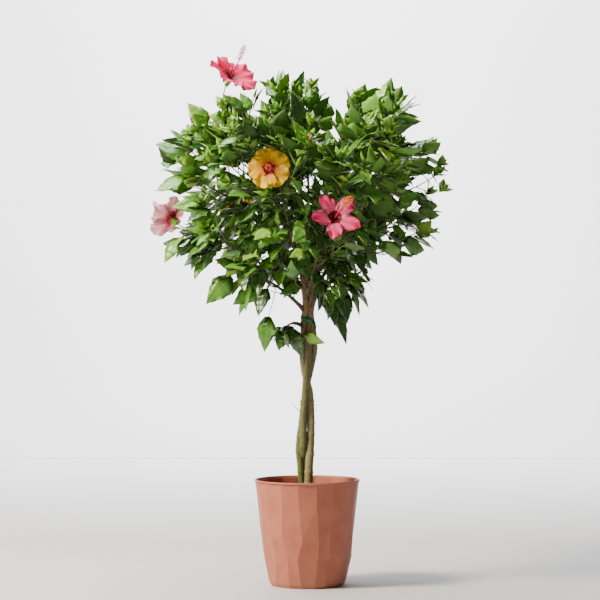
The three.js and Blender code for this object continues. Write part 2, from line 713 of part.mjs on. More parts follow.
// One mass of foliage: its twigs, their leaves, and the buds and blooms they bear
function massSolid(branch, index) {
  const draw = drawsFrom(1225 + 37 * index);
  const vigour = Math.min(1, (branch.curve.getLength() * (1 - branch.entry)) / FULL_LEADER);
  const twigs = growTwigs(branch, vigour, draw);
  clothedTwigs.length = 0;
  for (const { curve, t0, radiusAt } of twigs) {
    for (const { t, p } of walk(curve, t0, 1, 24)) clothedTwigs.push({ p, r: radiusAt(t) });
  }
  const leaves = [];
  const size = LEAF_LENGTH * mix(0.6, 1, vigour);
  twigs.forEach(({ curve, t0 }, k) => clothe(branch, leaves, curve, k ? 0.18 : t0 + 0.03, size, draw));
  const parts = twigs.map((twig, k) => twigSolid(twig, k === 0));
  for (const leaf of leaves) parts.push(leafSolid(leaf));
  for (const { curve } of BUDS_ON.has(branch.name) ? twigs : []) {
    const node = curve.getPoint(0.99);
    const axis = curve.getTangent(1);
    const away = roundAxis(axis, draw() * 2 * Math.PI);
    if (inCell(branch, along(node, axis, BUD.stalk + BUD.length), 8)) parts.push(budSolid(node, axis, away));
  }
  for (const bloom of BLOOMS.filter(([bearer]) => bearer === branch.name)) {
    parts.push(...bloomSolids(bloom, branch.curve.getPoint(mix(branch.entry, 1, 0.55))));
  }
  return join(parts);
}

addPotAndSoil();
let bare = null; // the bare wood so far, grown by the clearance
["stem_left", "stem_middle", "stem_right"].forEach((name, stem) => {
  const stubs = STUBS.filter(([of]) => of === stem).map(stubSolid);
  const made = join([stemSolid(stem, 0), ...stubs]);
  addPiece(name, bare ? largest(made.subtract(bare)) : made, 0x8d8062, 0.8);
  const grown = join([stemSolid(stem, GAP), ...stubs]);
  bare = bare ? bare.add(grown) : grown;
});
addPiece("trunk_tie", largest(tieSolid(0).subtract(bare)), 0x14664a, 0.45);
bare = bare.add(tieSolid(GAP));

// Each bough is cut clear of the stems and of the boughs before it, each foliage mass of all of them
for (const branch of branches) {
  addPiece("bough_" + branch.name, largest(boughSolid(branch, 0).subtract(bare)), 0x5a5240, 0.85);
  bare = bare.add(boughSolid(branch, GAP));
}
branches.forEach((branch, index) => {
  addPiece("foliage_" + branch.name, largest(massSolid(branch, index).subtract(bare)), 0x2f5a1c, 0.45);
});

export default plant;
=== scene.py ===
# Potted hibiscus standard: the finish of every piece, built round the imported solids. Blender's frame is
# in metres, +Z up, with the front facing -Y. The plant's own rule of growth works in millimetres.

import json
import math

import bmesh
import bpy
import numpy as np
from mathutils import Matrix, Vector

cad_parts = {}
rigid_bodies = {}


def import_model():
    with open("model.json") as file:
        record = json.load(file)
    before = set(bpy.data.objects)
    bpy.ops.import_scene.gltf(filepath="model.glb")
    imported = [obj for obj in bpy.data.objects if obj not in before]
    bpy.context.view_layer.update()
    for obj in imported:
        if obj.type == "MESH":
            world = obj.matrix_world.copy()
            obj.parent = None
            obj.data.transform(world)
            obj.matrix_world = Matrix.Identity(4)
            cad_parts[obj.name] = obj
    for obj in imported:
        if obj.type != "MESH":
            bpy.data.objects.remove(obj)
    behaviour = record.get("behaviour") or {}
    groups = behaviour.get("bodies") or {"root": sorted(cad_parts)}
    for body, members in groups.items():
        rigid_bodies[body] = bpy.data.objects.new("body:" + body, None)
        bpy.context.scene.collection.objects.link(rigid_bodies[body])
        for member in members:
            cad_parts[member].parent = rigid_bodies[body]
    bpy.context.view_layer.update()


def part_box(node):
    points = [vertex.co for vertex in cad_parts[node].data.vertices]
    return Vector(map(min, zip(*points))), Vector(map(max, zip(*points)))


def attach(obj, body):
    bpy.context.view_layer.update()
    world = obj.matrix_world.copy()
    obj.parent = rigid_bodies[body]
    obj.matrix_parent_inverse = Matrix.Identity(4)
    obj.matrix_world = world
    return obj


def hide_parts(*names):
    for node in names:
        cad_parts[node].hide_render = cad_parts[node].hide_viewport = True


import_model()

# Camera: a long lens five metres away, at the height of the crown's foot and tipped up a little, so that it
# sees the pot slightly from above and the crown straight on.
CAMERA_PLACE = (-0.018, -5.060, 0.668)
CAMERA_TIP = 0.573  # degrees above level
FOCAL_LENGTH = 120.0  # millimetres, and so is the sensor's width
SENSOR_WIDTH = 36.0


def new_object(name, data, *finishes):
    made = bpy.data.objects.new(name, data)
    for finish in finishes:
        data.materials.append(finish)
    bpy.context.collection.objects.link(made)
    return made


lens = bpy.data.cameras.new("camera")
lens.lens = FOCAL_LENGTH
lens.sensor_width = SENSOR_WIDTH
camera = new_object("camera", lens)
camera.location = CAMERA_PLACE
camera.rotation_euler = (math.radians(90 + CAMERA_TIP), 0, 0)
bpy.context.scene.camera = camera

# Floor and light: a pale matt studio floor that sweeps up into a backdrop well behind the plant, under soft
# daylight with its brighter side above and to the left of the camera. Nothing here is part of the plant.
FLOOR_RADIUS = 60.0
FLOOR_COLOURS = ("bdbbb8", "c4c3c0")
SKY_COLOUR = "e4e8ee"
SKY_STRENGTH = 0.15
COVE_START = 4.6  # where the backdrop leaves the floor, in metres behind the plant
COVE_RADIUS = 2.6
COVE_STEPS = 32
BACKDROP_SIZE = (16.0, 5.0)  # width and height
BACKDROP_LIFT = 0.001  # clear of the floor
LAMPS = (  # name, place, aim, size in metres, watts, colour
    ("key", (-3.2, -1.4, 3.3), (0, 0, 0.8), 1.2, 570, "fff3e2"),
    ("top", (-0.7, 0.5, 3.7), (0, 0, 0.9), 2.6, 240, "f2f6ff"),
    ("backdrop", (0.0, 3.4, 5.2), (0, 8.0, 3.0), 3.0, 2300, "f4f7ff"),
)


def colour(code):
    """An sRGB hex value as linear red, green, blue and alpha."""
    shares = [int(code[k:k + 2], 16) / 255 for k in (0, 2, 4)]
    linear = [s / 12.92 if s <= 0.04045 else ((s + 0.055) / 1.055) ** 2.4 for s in shares]
    return (*linear, 1.0)


def feed(tree, node, inputs):
    """Gives each input of a node a plain value, a hex colour, a socket, or another node's first output."""
    for name, value in inputs.items():
        fits = [s for s in node.inputs if s.enabled and s.name == name]
        socket = node.inputs[name] if isinstance(name, int) else fits[0]
        if isinstance(value, bpy.types.Node):
            value = next(s for s in value.outputs if s.enabled)
        if isinstance(value, bpy.types.NodeSocket):
            tree.links.new(value, socket)
        else:
            socket.default_value = colour(value) if socket.type == "RGBA" else value


def add(tree, kind, inputs=None, **settings):
    """Adds a node with its settings and its inputs."""
    made = tree.nodes.new(kind)
    for name, value in settings.items():
        setattr(made, name, value)
    feed(tree, made, inputs or {})
    return made


def new_material(name, **values):
    """A material, its node tree and its shader, with even values for the shader's own sockets."""
    made = bpy.data.materials.new(name)
    made.use_nodes = True
    surface = made.node_tree.nodes["Principled BSDF"]
    for socket, value in values.items():
        surface.inputs[socket.replace("_", " ")].default_value = value
    return made, made.node_tree, surface


def scale_for(size):
    """The scale of a pattern whose marks measure so many millimetres."""
    return 1000 / size


def patchy_tone(tree, place, tones, size, detail=3.0, crumble=0.5, spread=None):
    """Two tones that wander into each other in patches of a size in mm. Returns the tone and the patches."""
    patches = add(tree, "ShaderNodeTexNoise", {
        "Vector": place, "Scale": scale_for(size), "Detail": detail, "Roughness": crumble})
    share = patches
    if spread:
        share = add(tree, "ShaderNodeMapRange", {
            "Value": patches, "From Min": spread[0], "From Max": spread[1]})
    tone = add(tree, "ShaderNodeMix", {"Factor": share, "A": tones[0], "B": tones[1]}, data_type="RGBA")
    return tone, patches


def dress(tree, surface, tone, relief=None, rough=None):
    """Gives a surface its tone, relief (pattern, strength, depth) and roughness (pattern, least, most)."""
    feed(tree, surface, {"Base Color": tone})
    if relief:
        bump = add(tree, "ShaderNodeBump", {
            "Height": relief[0], "Strength": relief[1], "Distance": relief[2]})
        feed(tree, surface, {"Normal": bump})
    if rough:
        varied = add(tree, "ShaderNodeMapRange", {"Value": rough[0], "To Min": rough[1], "To Max": rough[2]})
        feed(tree, surface, {"Roughness": varied})


def mottled_finish(name, tones, size, detail=3.0, crumble=0.5, spread=None, relief=None, **values):
    """A finish in patches of two tones, which are also its relief."""
    made, tree, surface = new_material(name, **values)
    place = add(tree, "ShaderNodeTexCoord").outputs["Object"]
    tone, patches = patchy_tone(tree, place, tones, size, detail, crumble, spread)
    dress(tree, surface, tone, relief and (patches, *relief))
    return made


MM = 0.001


def mesh_of(name, points, faces, smooth=True, scale=MM, edges=()):
    """A mesh from points in millimetres, or in the unit that the scale gives."""
    made = bpy.data.meshes.new(name)
    made.from_pydata([tuple(p) for p in np.asarray(points) * scale], edges, faces)
    made.polygons.foreach_set("use_smooth", [smooth] * len(made.polygons))
    return made


# Painted studio floor: matt paint, with a faint cloudiness more than a metre across
floor_paint = mottled_finish("matt_floor_paint", FLOOR_COLOURS, 1430.0, Roughness=0.85, IOR=1.45)

disc = bmesh.new()
bmesh.ops.create_circle(disc, cap_ends=True, segments=96, radius=FLOOR_RADIUS)
floor_mesh = bpy.data.meshes.new("studio_floor")
disc.to_mesh(floor_mesh)
disc.free()
new_object("studio_floor", floor_mesh, floor_paint)

sweep = [(COVE_START + COVE_RADIUS * math.sin(t), COVE_RADIUS * (1 - math.cos(t)))
         for t in np.linspace(0, math.pi / 2, COVE_STEPS + 1)]
sweep.append((COVE_START + COVE_RADIUS, BACKDROP_SIZE[1]))
ends = (-BACKDROP_SIZE[0] / 2, BACKDROP_SIZE[0] / 2)
cove_points = [(x, y, z + BACKDROP_LIFT) for y, z in sweep for x in ends]
cove_faces = [(2 * k, 2 * k + 2, 2 * k + 3, 2 * k + 1) for k in range(len(sweep) - 1)]
new_object("backdrop", mesh_of("backdrop", cove_points, cove_faces, scale=1), floor_paint)

sky = bpy.data.worlds.new("overcast_sky")
sky.use_nodes = True
background = sky.node_tree.nodes["Background"]
feed(sky.node_tree, background, {"Color": SKY_COLOUR, "Strength": SKY_STRENGTH})
bpy.context.scene.world = sky

for name, spot, aim, size, watts, tint in LAMPS:
    lamp = bpy.data.lights.new(name, "AREA")
    lamp.size = size
    lamp.energy = watts
    lamp.color = colour(tint)[:3]
    holder = new_object(name, lamp)
    holder.location = spot
    towards = np.subtract(aim, spot)
    holder.rotation_euler = (
        math.atan2(math.hypot(towards[0], towards[1]), -towards[2]), 0,
        math.atan2(-towards[0], towards[1]))

# Pot: a round tub moulded in matt terracotta-coloured plastic. Eighteen wandering ridges bound its tall
# facets, inside and out, and a thin plain lip rounds off the top.
pot_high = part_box("pot")[1]
soil_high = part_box("soil")[1]
POT_HEIGHT = pot_high.z / MM
POT_RIM_RADIUS = pot_high.x / MM
POT_FOOT_RADIUS = 92.0
POT_SWELL = 0.6  # power of the taper: below 1 the side bulges
POT_WALL = 4.0
POT_FLOOR = 6.0
POT_LIP = 5.0  # height of the plain lip above the facets
POT_RIDGES = 18
POT_LEVELS = (0.035, 0.27, 0.5, 0.75)  # heights of the facet corners, as shares of the pot's
WANDER_TURN = 0.26  # in ridge spacings
WANDER_HEIGHT = 0.085  # in pot heights
WANDER_RADIUS = 2.0
RIDGE_ROUNDING = 0.6
LEAST_FOLD = math.radians(1.5)  # between two faces, for their edge to be rounded
LIP_STEPS = 8  # steps of the round lip to each facet
LIP_PROFILE = (  # outwards from the rim radius, and up from the top of the facets
    (-0.6, 0.0), (0.5, 0.3), (1.0, 1.3), (1.1, 3.0), (0.7, 4.4), (-0.4, 5.0), (-1.8, 4.9), (-2.9, 4.2),
    (-3.4, 3.0), (-3.6, 1.2), (-3.7, 0.0),
)


def draws_from(seed):
    """A plain congruential sequence, so that everything falls the same way on every run."""
    state = seed

    def draw():
        nonlocal state
        state = (state * 1664525 + 1013904223) & 0xFFFFFFFF
        return state / 4294967296

    return draw


def mix(a, b, t):
    return a + (b - a) * t


def pot_radius(share):
    return mix(POT_FOOT_RADIUS, POT_RIM_RADIUS, share ** POT_SWELL)


def facet_rows(inset, lift):
    """The corners of the facets as (turn, radius, height), row by row, from the foot to under the lip."""
    draw = draws_from(41)
    spacing = math.tau / POT_RIDGES
    rows = []
    for row, level in enumerate(POT_LEVELS):
        loose = 0 if row == 0 else 1  # the lowest row stays level
        corners = []
        for k in range(POT_RIDGES):
            turn = (k + (draw() - 0.5) * 2 * WANDER_TURN) * spacing
            share = level + (draw() - 0.5) * 2 * WANDER_HEIGHT * loose
            radius = pot_radius(share) + (draw() - 0.5) * 2 * WANDER_RADIUS * loose
            corners.append((turn, radius - inset, share * POT_HEIGHT))
        rows.append(corners)
    foot = [(turn, POT_FOOT_RADIUS - inset, lift) for turn, _, _ in rows[0]]
    rows[0] = [(turn, radius, z + lift) for turn, radius, z in rows[0]]
    rim = POT_RIM_RADIUS + LIP_PROFILE[0][0] - inset
    top = [(k * spacing, rim, POT_HEIGHT - POT_LIP) for k in range(POT_RIDGES)]
    return [foot, *rows, top]


shell = bmesh.new()


def ring_of(corners):
    return [shell.verts.new((r * math.cos(t) * MM, r * math.sin(t) * MM, z * MM)) for t, r, z in corners]


def facet_wall(inset, lift, inwards):
    """One facetted wall of the pot. Returns its faces and its top ring."""
    rings = [ring_of(corners) for corners in facet_rows(inset, lift)]
    made = []
    for j in range(len(rings) - 1):
        for k in range(POT_RIDGES):
            a, b = rings[j][k], rings[j][(k + 1) % POT_RIDGES]
            c, d = rings[j + 1][(k + 1) % POT_RIDGES], rings[j + 1][k]
            halves = [(a, b, d), (b, c, d)] if (j + k) % 2 else [(a, b, c), (a, c, d)]
            made += [shell.faces.new(half[::-1] if inwards else half) for half in halves]
    made.append(shell.faces.new(rings[0] if inwards else rings[0][::-1]))
    return made, rings[-1]


outer_faces, outer_top = facet_wall(0, 0, False)
inner_faces, inner_top = facet_wall(POT_WALL, POT_FLOOR, True)
lip_count = POT_RIDGES * LIP_STEPS
lip_rings = [
    ring_of([(math.tau * k / lip_count, POT_RIM_RADIUS + out, POT_HEIGHT - POT_LIP + up)
             for k in range(lip_count)])
    for out, up in LIP_PROFILE
]
lip_faces = []
for lower, upper in zip(lip_rings, lip_rings[1:]):
    for k in range(lip_count):
        after = (k + 1) % lip_count
        lip_faces.append(shell.faces.new((lower[k], lower[after], upper[after], upper[k])))


def join_facets_to_lip(corners, ring, inwards):
    """The flat shoulder between the straight facet edges and the round lip."""
    for k in range(POT_RIDGES):
        after = corners[(k + 1) % POT_RIDGES]
        arc = [ring[(LIP_STEPS * k + step) % lip_count] for step in range(LIP_STEPS + 1)]
        half = LIP_STEPS // 2
        fans = [(corners[k], arc[s + 1], arc[s]) for s in range(half)]
        fans += [(after, arc[s + 1], arc[s]) for s in range(half, LIP_STEPS)]
        fans.append((corners[k], after, arc[half]))
        for fan in fans:
            lip_faces.append(shell.faces.new(fan if inwards else fan[::-1]))


join_facets_to_lip(outer_top, lip_rings[0], True)
join_facets_to_lip(inner_top, lip_rings[-1], False)
facets = set(outer_faces + inner_faces)
for face in lip_faces:
    face.smooth = True
folds = [edge for edge in shell.edges if len(edge.link_faces) == 2 and set(edge.link_faces) <= facets]
ridges = [edge for edge in folds if edge.calc_face_angle() > LEAST_FOLD]
bmesh.ops.bevel(shell, geom=ridges, offset=RIDGE_ROUNDING * MM, segments=2, profile=0.5, affect="EDGES",
                clamp_overlap=True)
bmesh.ops.recalc_face_normals(shell, faces=shell.faces)
pot_mesh = bpy.data.meshes.new("pot_tub")
shell.to_mesh(pot_mesh)
shell.free()

# Moulded polypropylene: matt, with a soft cloudiness in the colour, a fine even grain from the mould, drawn
# coarser than it is so that it shows, and a little dust that has settled towards the foot
POT_COLOURS = ("a65c45", "b26951")
POT_DUST = "a48468"
DUST_TOP = 0.06  # metres above the foot
pot_plastic, tree, surface = new_material("moulded_polypropylene", IOR=1.49)
place = add(tree, "ShaderNodeTexCoord").outputs["Object"]
tone, clouds = patchy_tone(tree, place, POT_COLOURS, 45.5, 5.0, 0.6, (0.35, 0.7))
height = add(tree, "ShaderNodeSeparateXYZ", {"Vector": place}).outputs["Z"]
low = add(tree, "ShaderNodeMapRange", {
    "Value": height, "From Min": DUST_TOP, "From Max": 0.0, "To Max": 0.35})
specks = add(tree, "ShaderNodeTexNoise", {"Vector": place, "Scale": scale_for(6.25), "Detail": 4.0})
dusty = add(tree, "ShaderNodeMath", {0: low, 1: specks}, operation="MULTIPLY")
dusted = add(tree, "ShaderNodeMix", {"Factor": dusty, "A": tone, "B": POT_DUST}, data_type="RGBA")
grain = add(tree, "ShaderNodeTexNoise", {"Vector": place, "Scale": scale_for(1.11), "Detail": 2.0})
dress(tree, surface, dusted, (grain, 0.25, 0.0002), (clouds, 0.5, 0.68))

pot = new_object("pot_tub", pot_mesh, pot_plastic)
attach(pot, "root")
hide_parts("pot")

# Potting mix: dark peat, mounded a little round the stems, with chips of composted bark and some white
# grains of perlite lying on it. It fills the pot to a thumb's length below the rim.
SOIL_TOP = soil_high.z / MM
SOIL_RADIUS = pot_radius(SOIL_TOP / POT_HEIGHT) - POT_WALL - 0.5  # its edge beds into the facets
SOIL_RINGS = 26
SOIL_SPOKES = 90
SOIL_DEPTH = 30.0  # the part of the fill that is made here
SOIL_MOUND = 4.0  # how much higher it lies round the stems
MOUND_STEEPNESS = 3.2
SOIL_SUNK = 1.5  # how much lower than the solid it lies at its edge
CHIP_KINDS = 4
CHIPS_CLEAR = 6.0  # free of chips along the wall


def tree_with(name, sockets):
    """A geometry node tree with a geometry input and output and the named inputs."""
    made = bpy.data.node_groups.new(name, "GeometryNodeTree")
    made.interface.new_socket("Geometry", in_out="INPUT", socket_type="NodeSocketGeometry")
    for socket, kind in sockets.items():
        made.interface.new_socket(socket, in_out="INPUT", socket_type="NodeSocket" + kind)
    made.interface.new_socket("Geometry", in_out="OUTPUT", socket_type="NodeSocketGeometry")
    return made, add(made, "NodeGroupInput").outputs


def shaped_by(tree, mesh, name, **values):
    """A new object whose plain mesh is what the node tree makes of the given mesh."""
    holder = new_object(name, mesh)
    modifier = holder.modifiers.new("shape", "NODES")
    modifier.node_group = tree
    for socket in tree.interface.items_tree:
        if socket.in_out == "INPUT" and socket.name.replace(" ", "_") in values:
            modifier[socket.identifier] = values[socket.name.replace(" ", "_")]
    depsgraph = bpy.context.evaluated_depsgraph_get()
    final = bpy.data.meshes.new_from_object(holder.evaluated_get(depsgraph), depsgraph=depsgraph)
    holder.modifiers.remove(modifier)
    for slot in reversed(range(len(final.materials))):
        if final.materials[slot] is None:
            final.materials.pop(index=slot)
    holder.data = final
    final.name = name
    return holder


soil_points = [(0, 0, SOIL_TOP + SOIL_MOUND)]
for ring in range(1, SOIL_RINGS + 1):
    share = ring / SOIL_RINGS
    rise = SOIL_MOUND * math.exp(-(share * MOUND_STEEPNESS) ** 2) - SOIL_SUNK
    for k in range(SOIL_SPOKES):
        turn = math.tau * k / SOIL_SPOKES
        radius = SOIL_RADIUS * share
        soil_points.append((radius * math.cos(turn), radius * math.sin(turn), SOIL_TOP + rise))
top_count = len(soil_points)
soil_points += [(x * 0.97, y * 0.97, SOIL_TOP - SOIL_DEPTH) for x, y, _ in soil_points[-SOIL_SPOKES:]]
soil_faces = []
for k in range(SOIL_SPOKES):
    after = (k + 1) % SOIL_SPOKES
    soil_faces.append((0, 1 + k, 1 + after))
    for ring in range(SOIL_RINGS):  # the last pair of rings is the side of the fill
        start = 1 + ring * SOIL_SPOKES
        soil_faces.append((start + k, start + SOIL_SPOKES + k, start + SOIL_SPOKES + after, start + after))
soil_faces.append(tuple(range(top_count + SOIL_SPOKES - 1, top_count - 1, -1)))

# Damp peat: nearly black brown, crumbly, without shine
peat = mottled_finish("damp_peat", ("1d140e", "4c3827"), 3.85, 6.0, 0.7, relief=(0.8, 0.0015), Roughness=0.95,
                      IOR=1.4)
# Composted bark: split chips, from grey brown to red brown, dull
bark_chip = mottled_finish("composted_bark", ("3a2718", "7d5f45"), 10.5, 5.0, 0.65, (0.3, 0.7), (0.6, 0.0008),
                           Roughness=0.85, IOR=1.45)
# Expanded perlite: chalk-white glassy foam, matt from its pores
perlite = mottled_finish("expanded_perlite", ("cfcac0", "f0eee9"), 1.11, Roughness=0.7, IOR=1.5)


def end_in_finish(tree, shape, finish):
    """Ends a tree by giving its shape a finish."""
    finished = add(tree, "GeometryNodeSetMaterial", {"Geometry": shape, "Material": finish})
    add(tree, "NodeGroupOutput", {"Geometry": finished})


def unevenness(tree, where, scale, detail, depth):
    """A noise that reaches as far below zero as above it, times a depth."""
    noise = add(tree, "ShaderNodeTexNoise", {"Vector": where, "Scale": scale, "Detail": detail})
    centred = add(tree, "ShaderNodeMath", {0: noise, 1: 0.5}, operation="SUBTRACT")
    return add(tree, "ShaderNodeMath", {0: centred, 1: depth}, operation="MULTIPLY")


tree, given = tree_with("crumbled_surface", {
    "Roughness": "Float", "Crumb size": "Float", "Lowest": "Float", "Finish": "Material"})
where = add(tree, "GeometryNodeInputPosition")
lift = unevenness(tree, where, given["Crumb size"], 4.0, given["Roughness"])
upwards = add(tree, "ShaderNodeCombineXYZ", {"Z": lift})
above = add(tree, "ShaderNodeSeparateXYZ", {"Vector": where}).outputs["Z"]
surface_only = add(tree, "FunctionNodeCompare", {"A": above, "B": given["Lowest"]},
                   data_type="FLOAT", operation="GREATER_THAN")
moved = add(tree, "GeometryNodeSetPosition", {
    "Geometry": given["Geometry"], "Selection": surface_only, "Offset": upwards})
end_in_finish(tree, moved, given["Finish"])

soil = shaped_by(tree, mesh_of("potting_mix", soil_points, soil_faces), "potting_mix",
                 Roughness=0.009, Crumb_size=70.0, Lowest=(SOIL_TOP - 10) * MM, Finish=peat)
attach(soil, "root")
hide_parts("soil")


def chip_shape(name, draw, flat):
    """A split chip: an uneven slab of a few faces, one unit long."""
    corners = []
    for level in (-flat, flat):
        for k in range(5):
            turn = math.tau * (k + 0.5 * draw()) / 5
            reach = mix(0.35, 0.5, draw())
            height = level * mix(0.6, 1, draw())
            corners.append((reach * math.cos(turn), 0.6 * reach * math.sin(turn), height))
    faces = [(4, 3, 2, 1, 0), (5, 6, 7, 8, 9)]
    faces += [(k, (k + 1) % 5, 5 + (k + 1) % 5, 5 + k) for k in range(5)]
    return new_object(name, mesh_of(name, corners, faces, smooth=False, scale=1))


def shape_collection(name, shapes):
    """Shapes to be copied, in a collection that is not part of the scene."""
    made = bpy.data.collections.new(name)
    for shape in shapes:
        made.objects.link(shape)
        bpy.context.collection.objects.unlink(shape)
    return made


def clear_collection(collection):
    for shape in list(collection.objects):
        bpy.data.objects.remove(shape)
    bpy.data.collections.remove(collection)


tree, given = tree_with("scattered_chips", {
    "Shapes": "Collection", "Spacing": "Float", "Density": "Float", "Smallest": "Float", "Largest": "Float",
    "Outer radius": "Float", "Seed": "Int", "Finish": "Material"})
where = add(tree, "GeometryNodeInputPosition")
level = add(tree, "ShaderNodeVectorMath", {0: where, 1: (1.0, 1.0, 0.0)}, operation="MULTIPLY")
from_middle = add(tree, "ShaderNodeVectorMath", {0: level}, operation="LENGTH").outputs["Value"]
surface_only = add(tree, "FunctionNodeCompare", {"A": from_middle, "B": given["Outer radius"]},
                   data_type="FLOAT", operation="LESS_THAN")
dealt = add(tree, "GeometryNodeDistributePointsOnFaces", {
    "Mesh": given["Geometry"], "Selection": surface_only, "Distance Min": given["Spacing"],
    "Density Max": given["Density"], "Seed": given["Seed"]}, distribute_method="POISSON")
chips = add(tree, "GeometryNodeCollectionInfo", {
    "Collection": given["Shapes"], "Separate Children": True, "Reset Children": True})
pick = add(tree, "FunctionNodeRandomValue", {"Min": 0, "Max": CHIP_KINDS - 1, "Seed": given["Seed"]},
           data_type="INT")
tilt = add(tree, "FunctionNodeRandomValue", {
    "Min": (-0.5, -0.5, -3.14), "Max": (0.5, 0.5, 3.14), "Seed": 5}, data_type="FLOAT_VECTOR")
length = add(tree, "FunctionNodeRandomValue", {
    "Min": given["Smallest"], "Max": given["Largest"], "Seed": 9}, data_type="FLOAT")
laid = add(tree, "GeometryNodeInstanceOnPoints", {
    "Points": dealt.outputs["Points"], "Instance": chips, "Pick Instance": True, "Instance Index": pick,
    "Scale": length, "Rotation": tilt})
made_real = add(tree, "GeometryNodeRealizeInstances", {"Geometry": laid})
end_in_finish(tree, made_real, given["Finish"])

LOOSE_BITS = (  # piece, thickness against length, spacing in m, number on 1 m2, sizes in m, seed, finish
    ("bark_chips", 0.12, 0.0045, 60000.0, (0.0035, 0.012), 3, bark_chip),
    ("perlite_grains", 0.3, 0.013, 3000.0, (0.0015, 0.0035), 8, perlite),
)
draw = draws_from(77)
for name, flat, spacing, density, sizes, seed, finish in LOOSE_BITS:
    shapes = shape_collection(name + "_shapes", [
        chip_shape(f"{name}_{k}", draw, flat) for k in range(CHIP_KINDS)])
    bits = shaped_by(tree, soil.data.copy(), name, Shapes=shapes, Spacing=spacing, Density=density,
                     Smallest=sizes[0], Largest=sizes[1], Outer_radius=(SOIL_RADIUS - CHIPS_CLEAR) * MM,
                     Seed=seed, Finish=finish)
    clear_collection(shapes)
    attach(bits, "root")

# Stems: three hibiscus stems plaited into one bare trunk. The bark is smooth and tan, with fine furrows
# along it, swollen rings where leaves once stood, and green algae low down on the shaded two.
STEM_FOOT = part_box("stem_left")[0].z / MM
STEM_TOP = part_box("stem_left")[1].z / MM
STEM_RADII = ((7.6, 6.4), (8.7, 6.8), (9.6, 6.9))  # foot and top of the left, middle and right stem
PLAIT = (  # height, then x and y of the left, the middle and the right stem
    (STEM_FOOT, -11, -2, -5, 14, 3, -9),
    (300, -17, -2, -9, 12, 5, -8),
    (345, -21, 6, -9.5, -5, 8, -3),
    (415, -13, 10, -9.5, -8, 9.5, 0),
    (480, -5.5, 14, -5.5, -10, 6.5, 3),
    (515, 2.5, 15.5, -2.5, -14, -1, 0.5),
    (560, 13, 9, 3, -11, -9.5, 3),
    (600, 19, 2, 4.5, -9, -9.5, 3),
    (660, 13, 8, 8, -7, -8, -2),
    (715, 5, 9, 12, -5, -4, -5),
    (800.0, 6, 14, 22, -4, -14, -6),
)
ROOT_FLARE = 0.1  # extra radius at the soil, as a share
FLARE_FADE = 22  # height over which the flare dies away
STEM_STEP = 2.5  # height of one ring of a stem's mesh
STEM_SIDES = 26
STUBS = (  # pruned stubs, then small dry leaf stalks and scars: stem, height, compass angle, length, radius
    (2, 742, 190, 22, 3.6),
    (1, 752, -12, 26, 3.6),
    (1, 712, 30, 12, 2.8),
    (1, 455, 200, 7, 2.2),
    (1, 432, 196, 32, 0.9),
    (1, 448, 188, 6, 1.6),
    (2, 446, 10, 6, 1.5),
    (2, 566, 150, 5, 1.4),
    (0, 590, -30, 6, 1.3),
    (1, 380, 160, 5, 1.4),
    (2, 352, -20, 5, 1.5),
)
SCAR_SPACING = 41.0
SCAR_SWELL = 0.11
STEM_SUNK = 3  # how far a stem reaches into the potting mix
STOUTER = 1.12  # against the solids, so that the stems press on each other
UP = np.array((0.0, 0.0, 1.0))


def unit(v):
    return v / math.sqrt(v @ v)


def blend(*terms):
    """A sum of vectors, each with its weight, brought to length 1."""
    return unit(sum(vector * weight for vector, weight in terms))


def plait_at(column, z):
    """One column of the plait, carried smoothly from height to height."""
    last = len(PLAIT) - 2
    i = 0
    while i < last and z > PLAIT[i + 1][0]:
        i += 1

    def slope(k):
        below, above = PLAIT[max(k - 1, 0)], PLAIT[min(k + 1, last + 1)]
        return (above[column] - below[column]) / (above[0] - below[0])

    span = PLAIT[i + 1][0] - PLAIT[i][0]
    t = (z - PLAIT[i][0]) / span
    rest = 1 - t
    start = PLAIT[i][column] * (1 + 2 * t) + slope(i) * span * t
    end = PLAIT[i + 1][column] * (1 + 2 * rest) - slope(i + 1) * span * rest
    return start * rest * rest + end * t * t


def stem_point(stem, z):
    return np.array((plait_at(2 * stem + 1, z), plait_at(2 * stem + 2, z), z))


def stem_radius(stem, z):
    foot, top = STEM_RADII[stem]
    share = (z - STEM_FOOT) / (STEM_TOP - STEM_FOOT)
    return mix(foot, top, share) * (1 + ROOT_FLARE * math.exp(-(z - STEM_FOOT) / FLARE_FADE))


# Limbs of every size: a round section carried along lines of points that hold their own thickness, with
# furrows that run lengthwise
wood_tree, given = tree_with("limbs_along_lines", {
    "Sides": "Int", "Furrow depth": "Float", "Furrows": "Vector", "Finish": "Material"})
thickness = add(wood_tree, "GeometryNodeInputNamedAttribute", {"Name": "thickness"}, data_type="FLOAT")
lines = add(wood_tree, "GeometryNodeMeshToCurve", {"Mesh": given["Geometry"]})
section = add(wood_tree, "GeometryNodeCurvePrimitiveCircle", {"Resolution": given["Sides"], "Radius": 1.0})
limbs = add(wood_tree, "GeometryNodeCurveToMesh", {
    "Curve": lines, "Profile Curve": section, "Scale": thickness, "Fill Caps": True})
where = add(wood_tree, "GeometryNodeInputPosition")
drawn_out = add(wood_tree, "ShaderNodeVectorMath", {0: where, 1: given["Furrows"]}, operation="MULTIPLY")
depth = unevenness(wood_tree, drawn_out, 1.0, 3.0, given["Furrow depth"])
normal = add(wood_tree, "GeometryNodeInputNormal")
outwards = add(wood_tree, "ShaderNodeVectorMath", {0: normal, "Scale": depth}, operation="SCALE")
furrowed = add(wood_tree, "GeometryNodeSetPosition", {"Geometry": limbs, "Offset": outwards})
smooth = add(wood_tree, "GeometryNodeSetShadeSmooth", {"Geometry": furrowed, "Shade Smooth": True})
end_in_finish(wood_tree, smooth, given["Finish"])


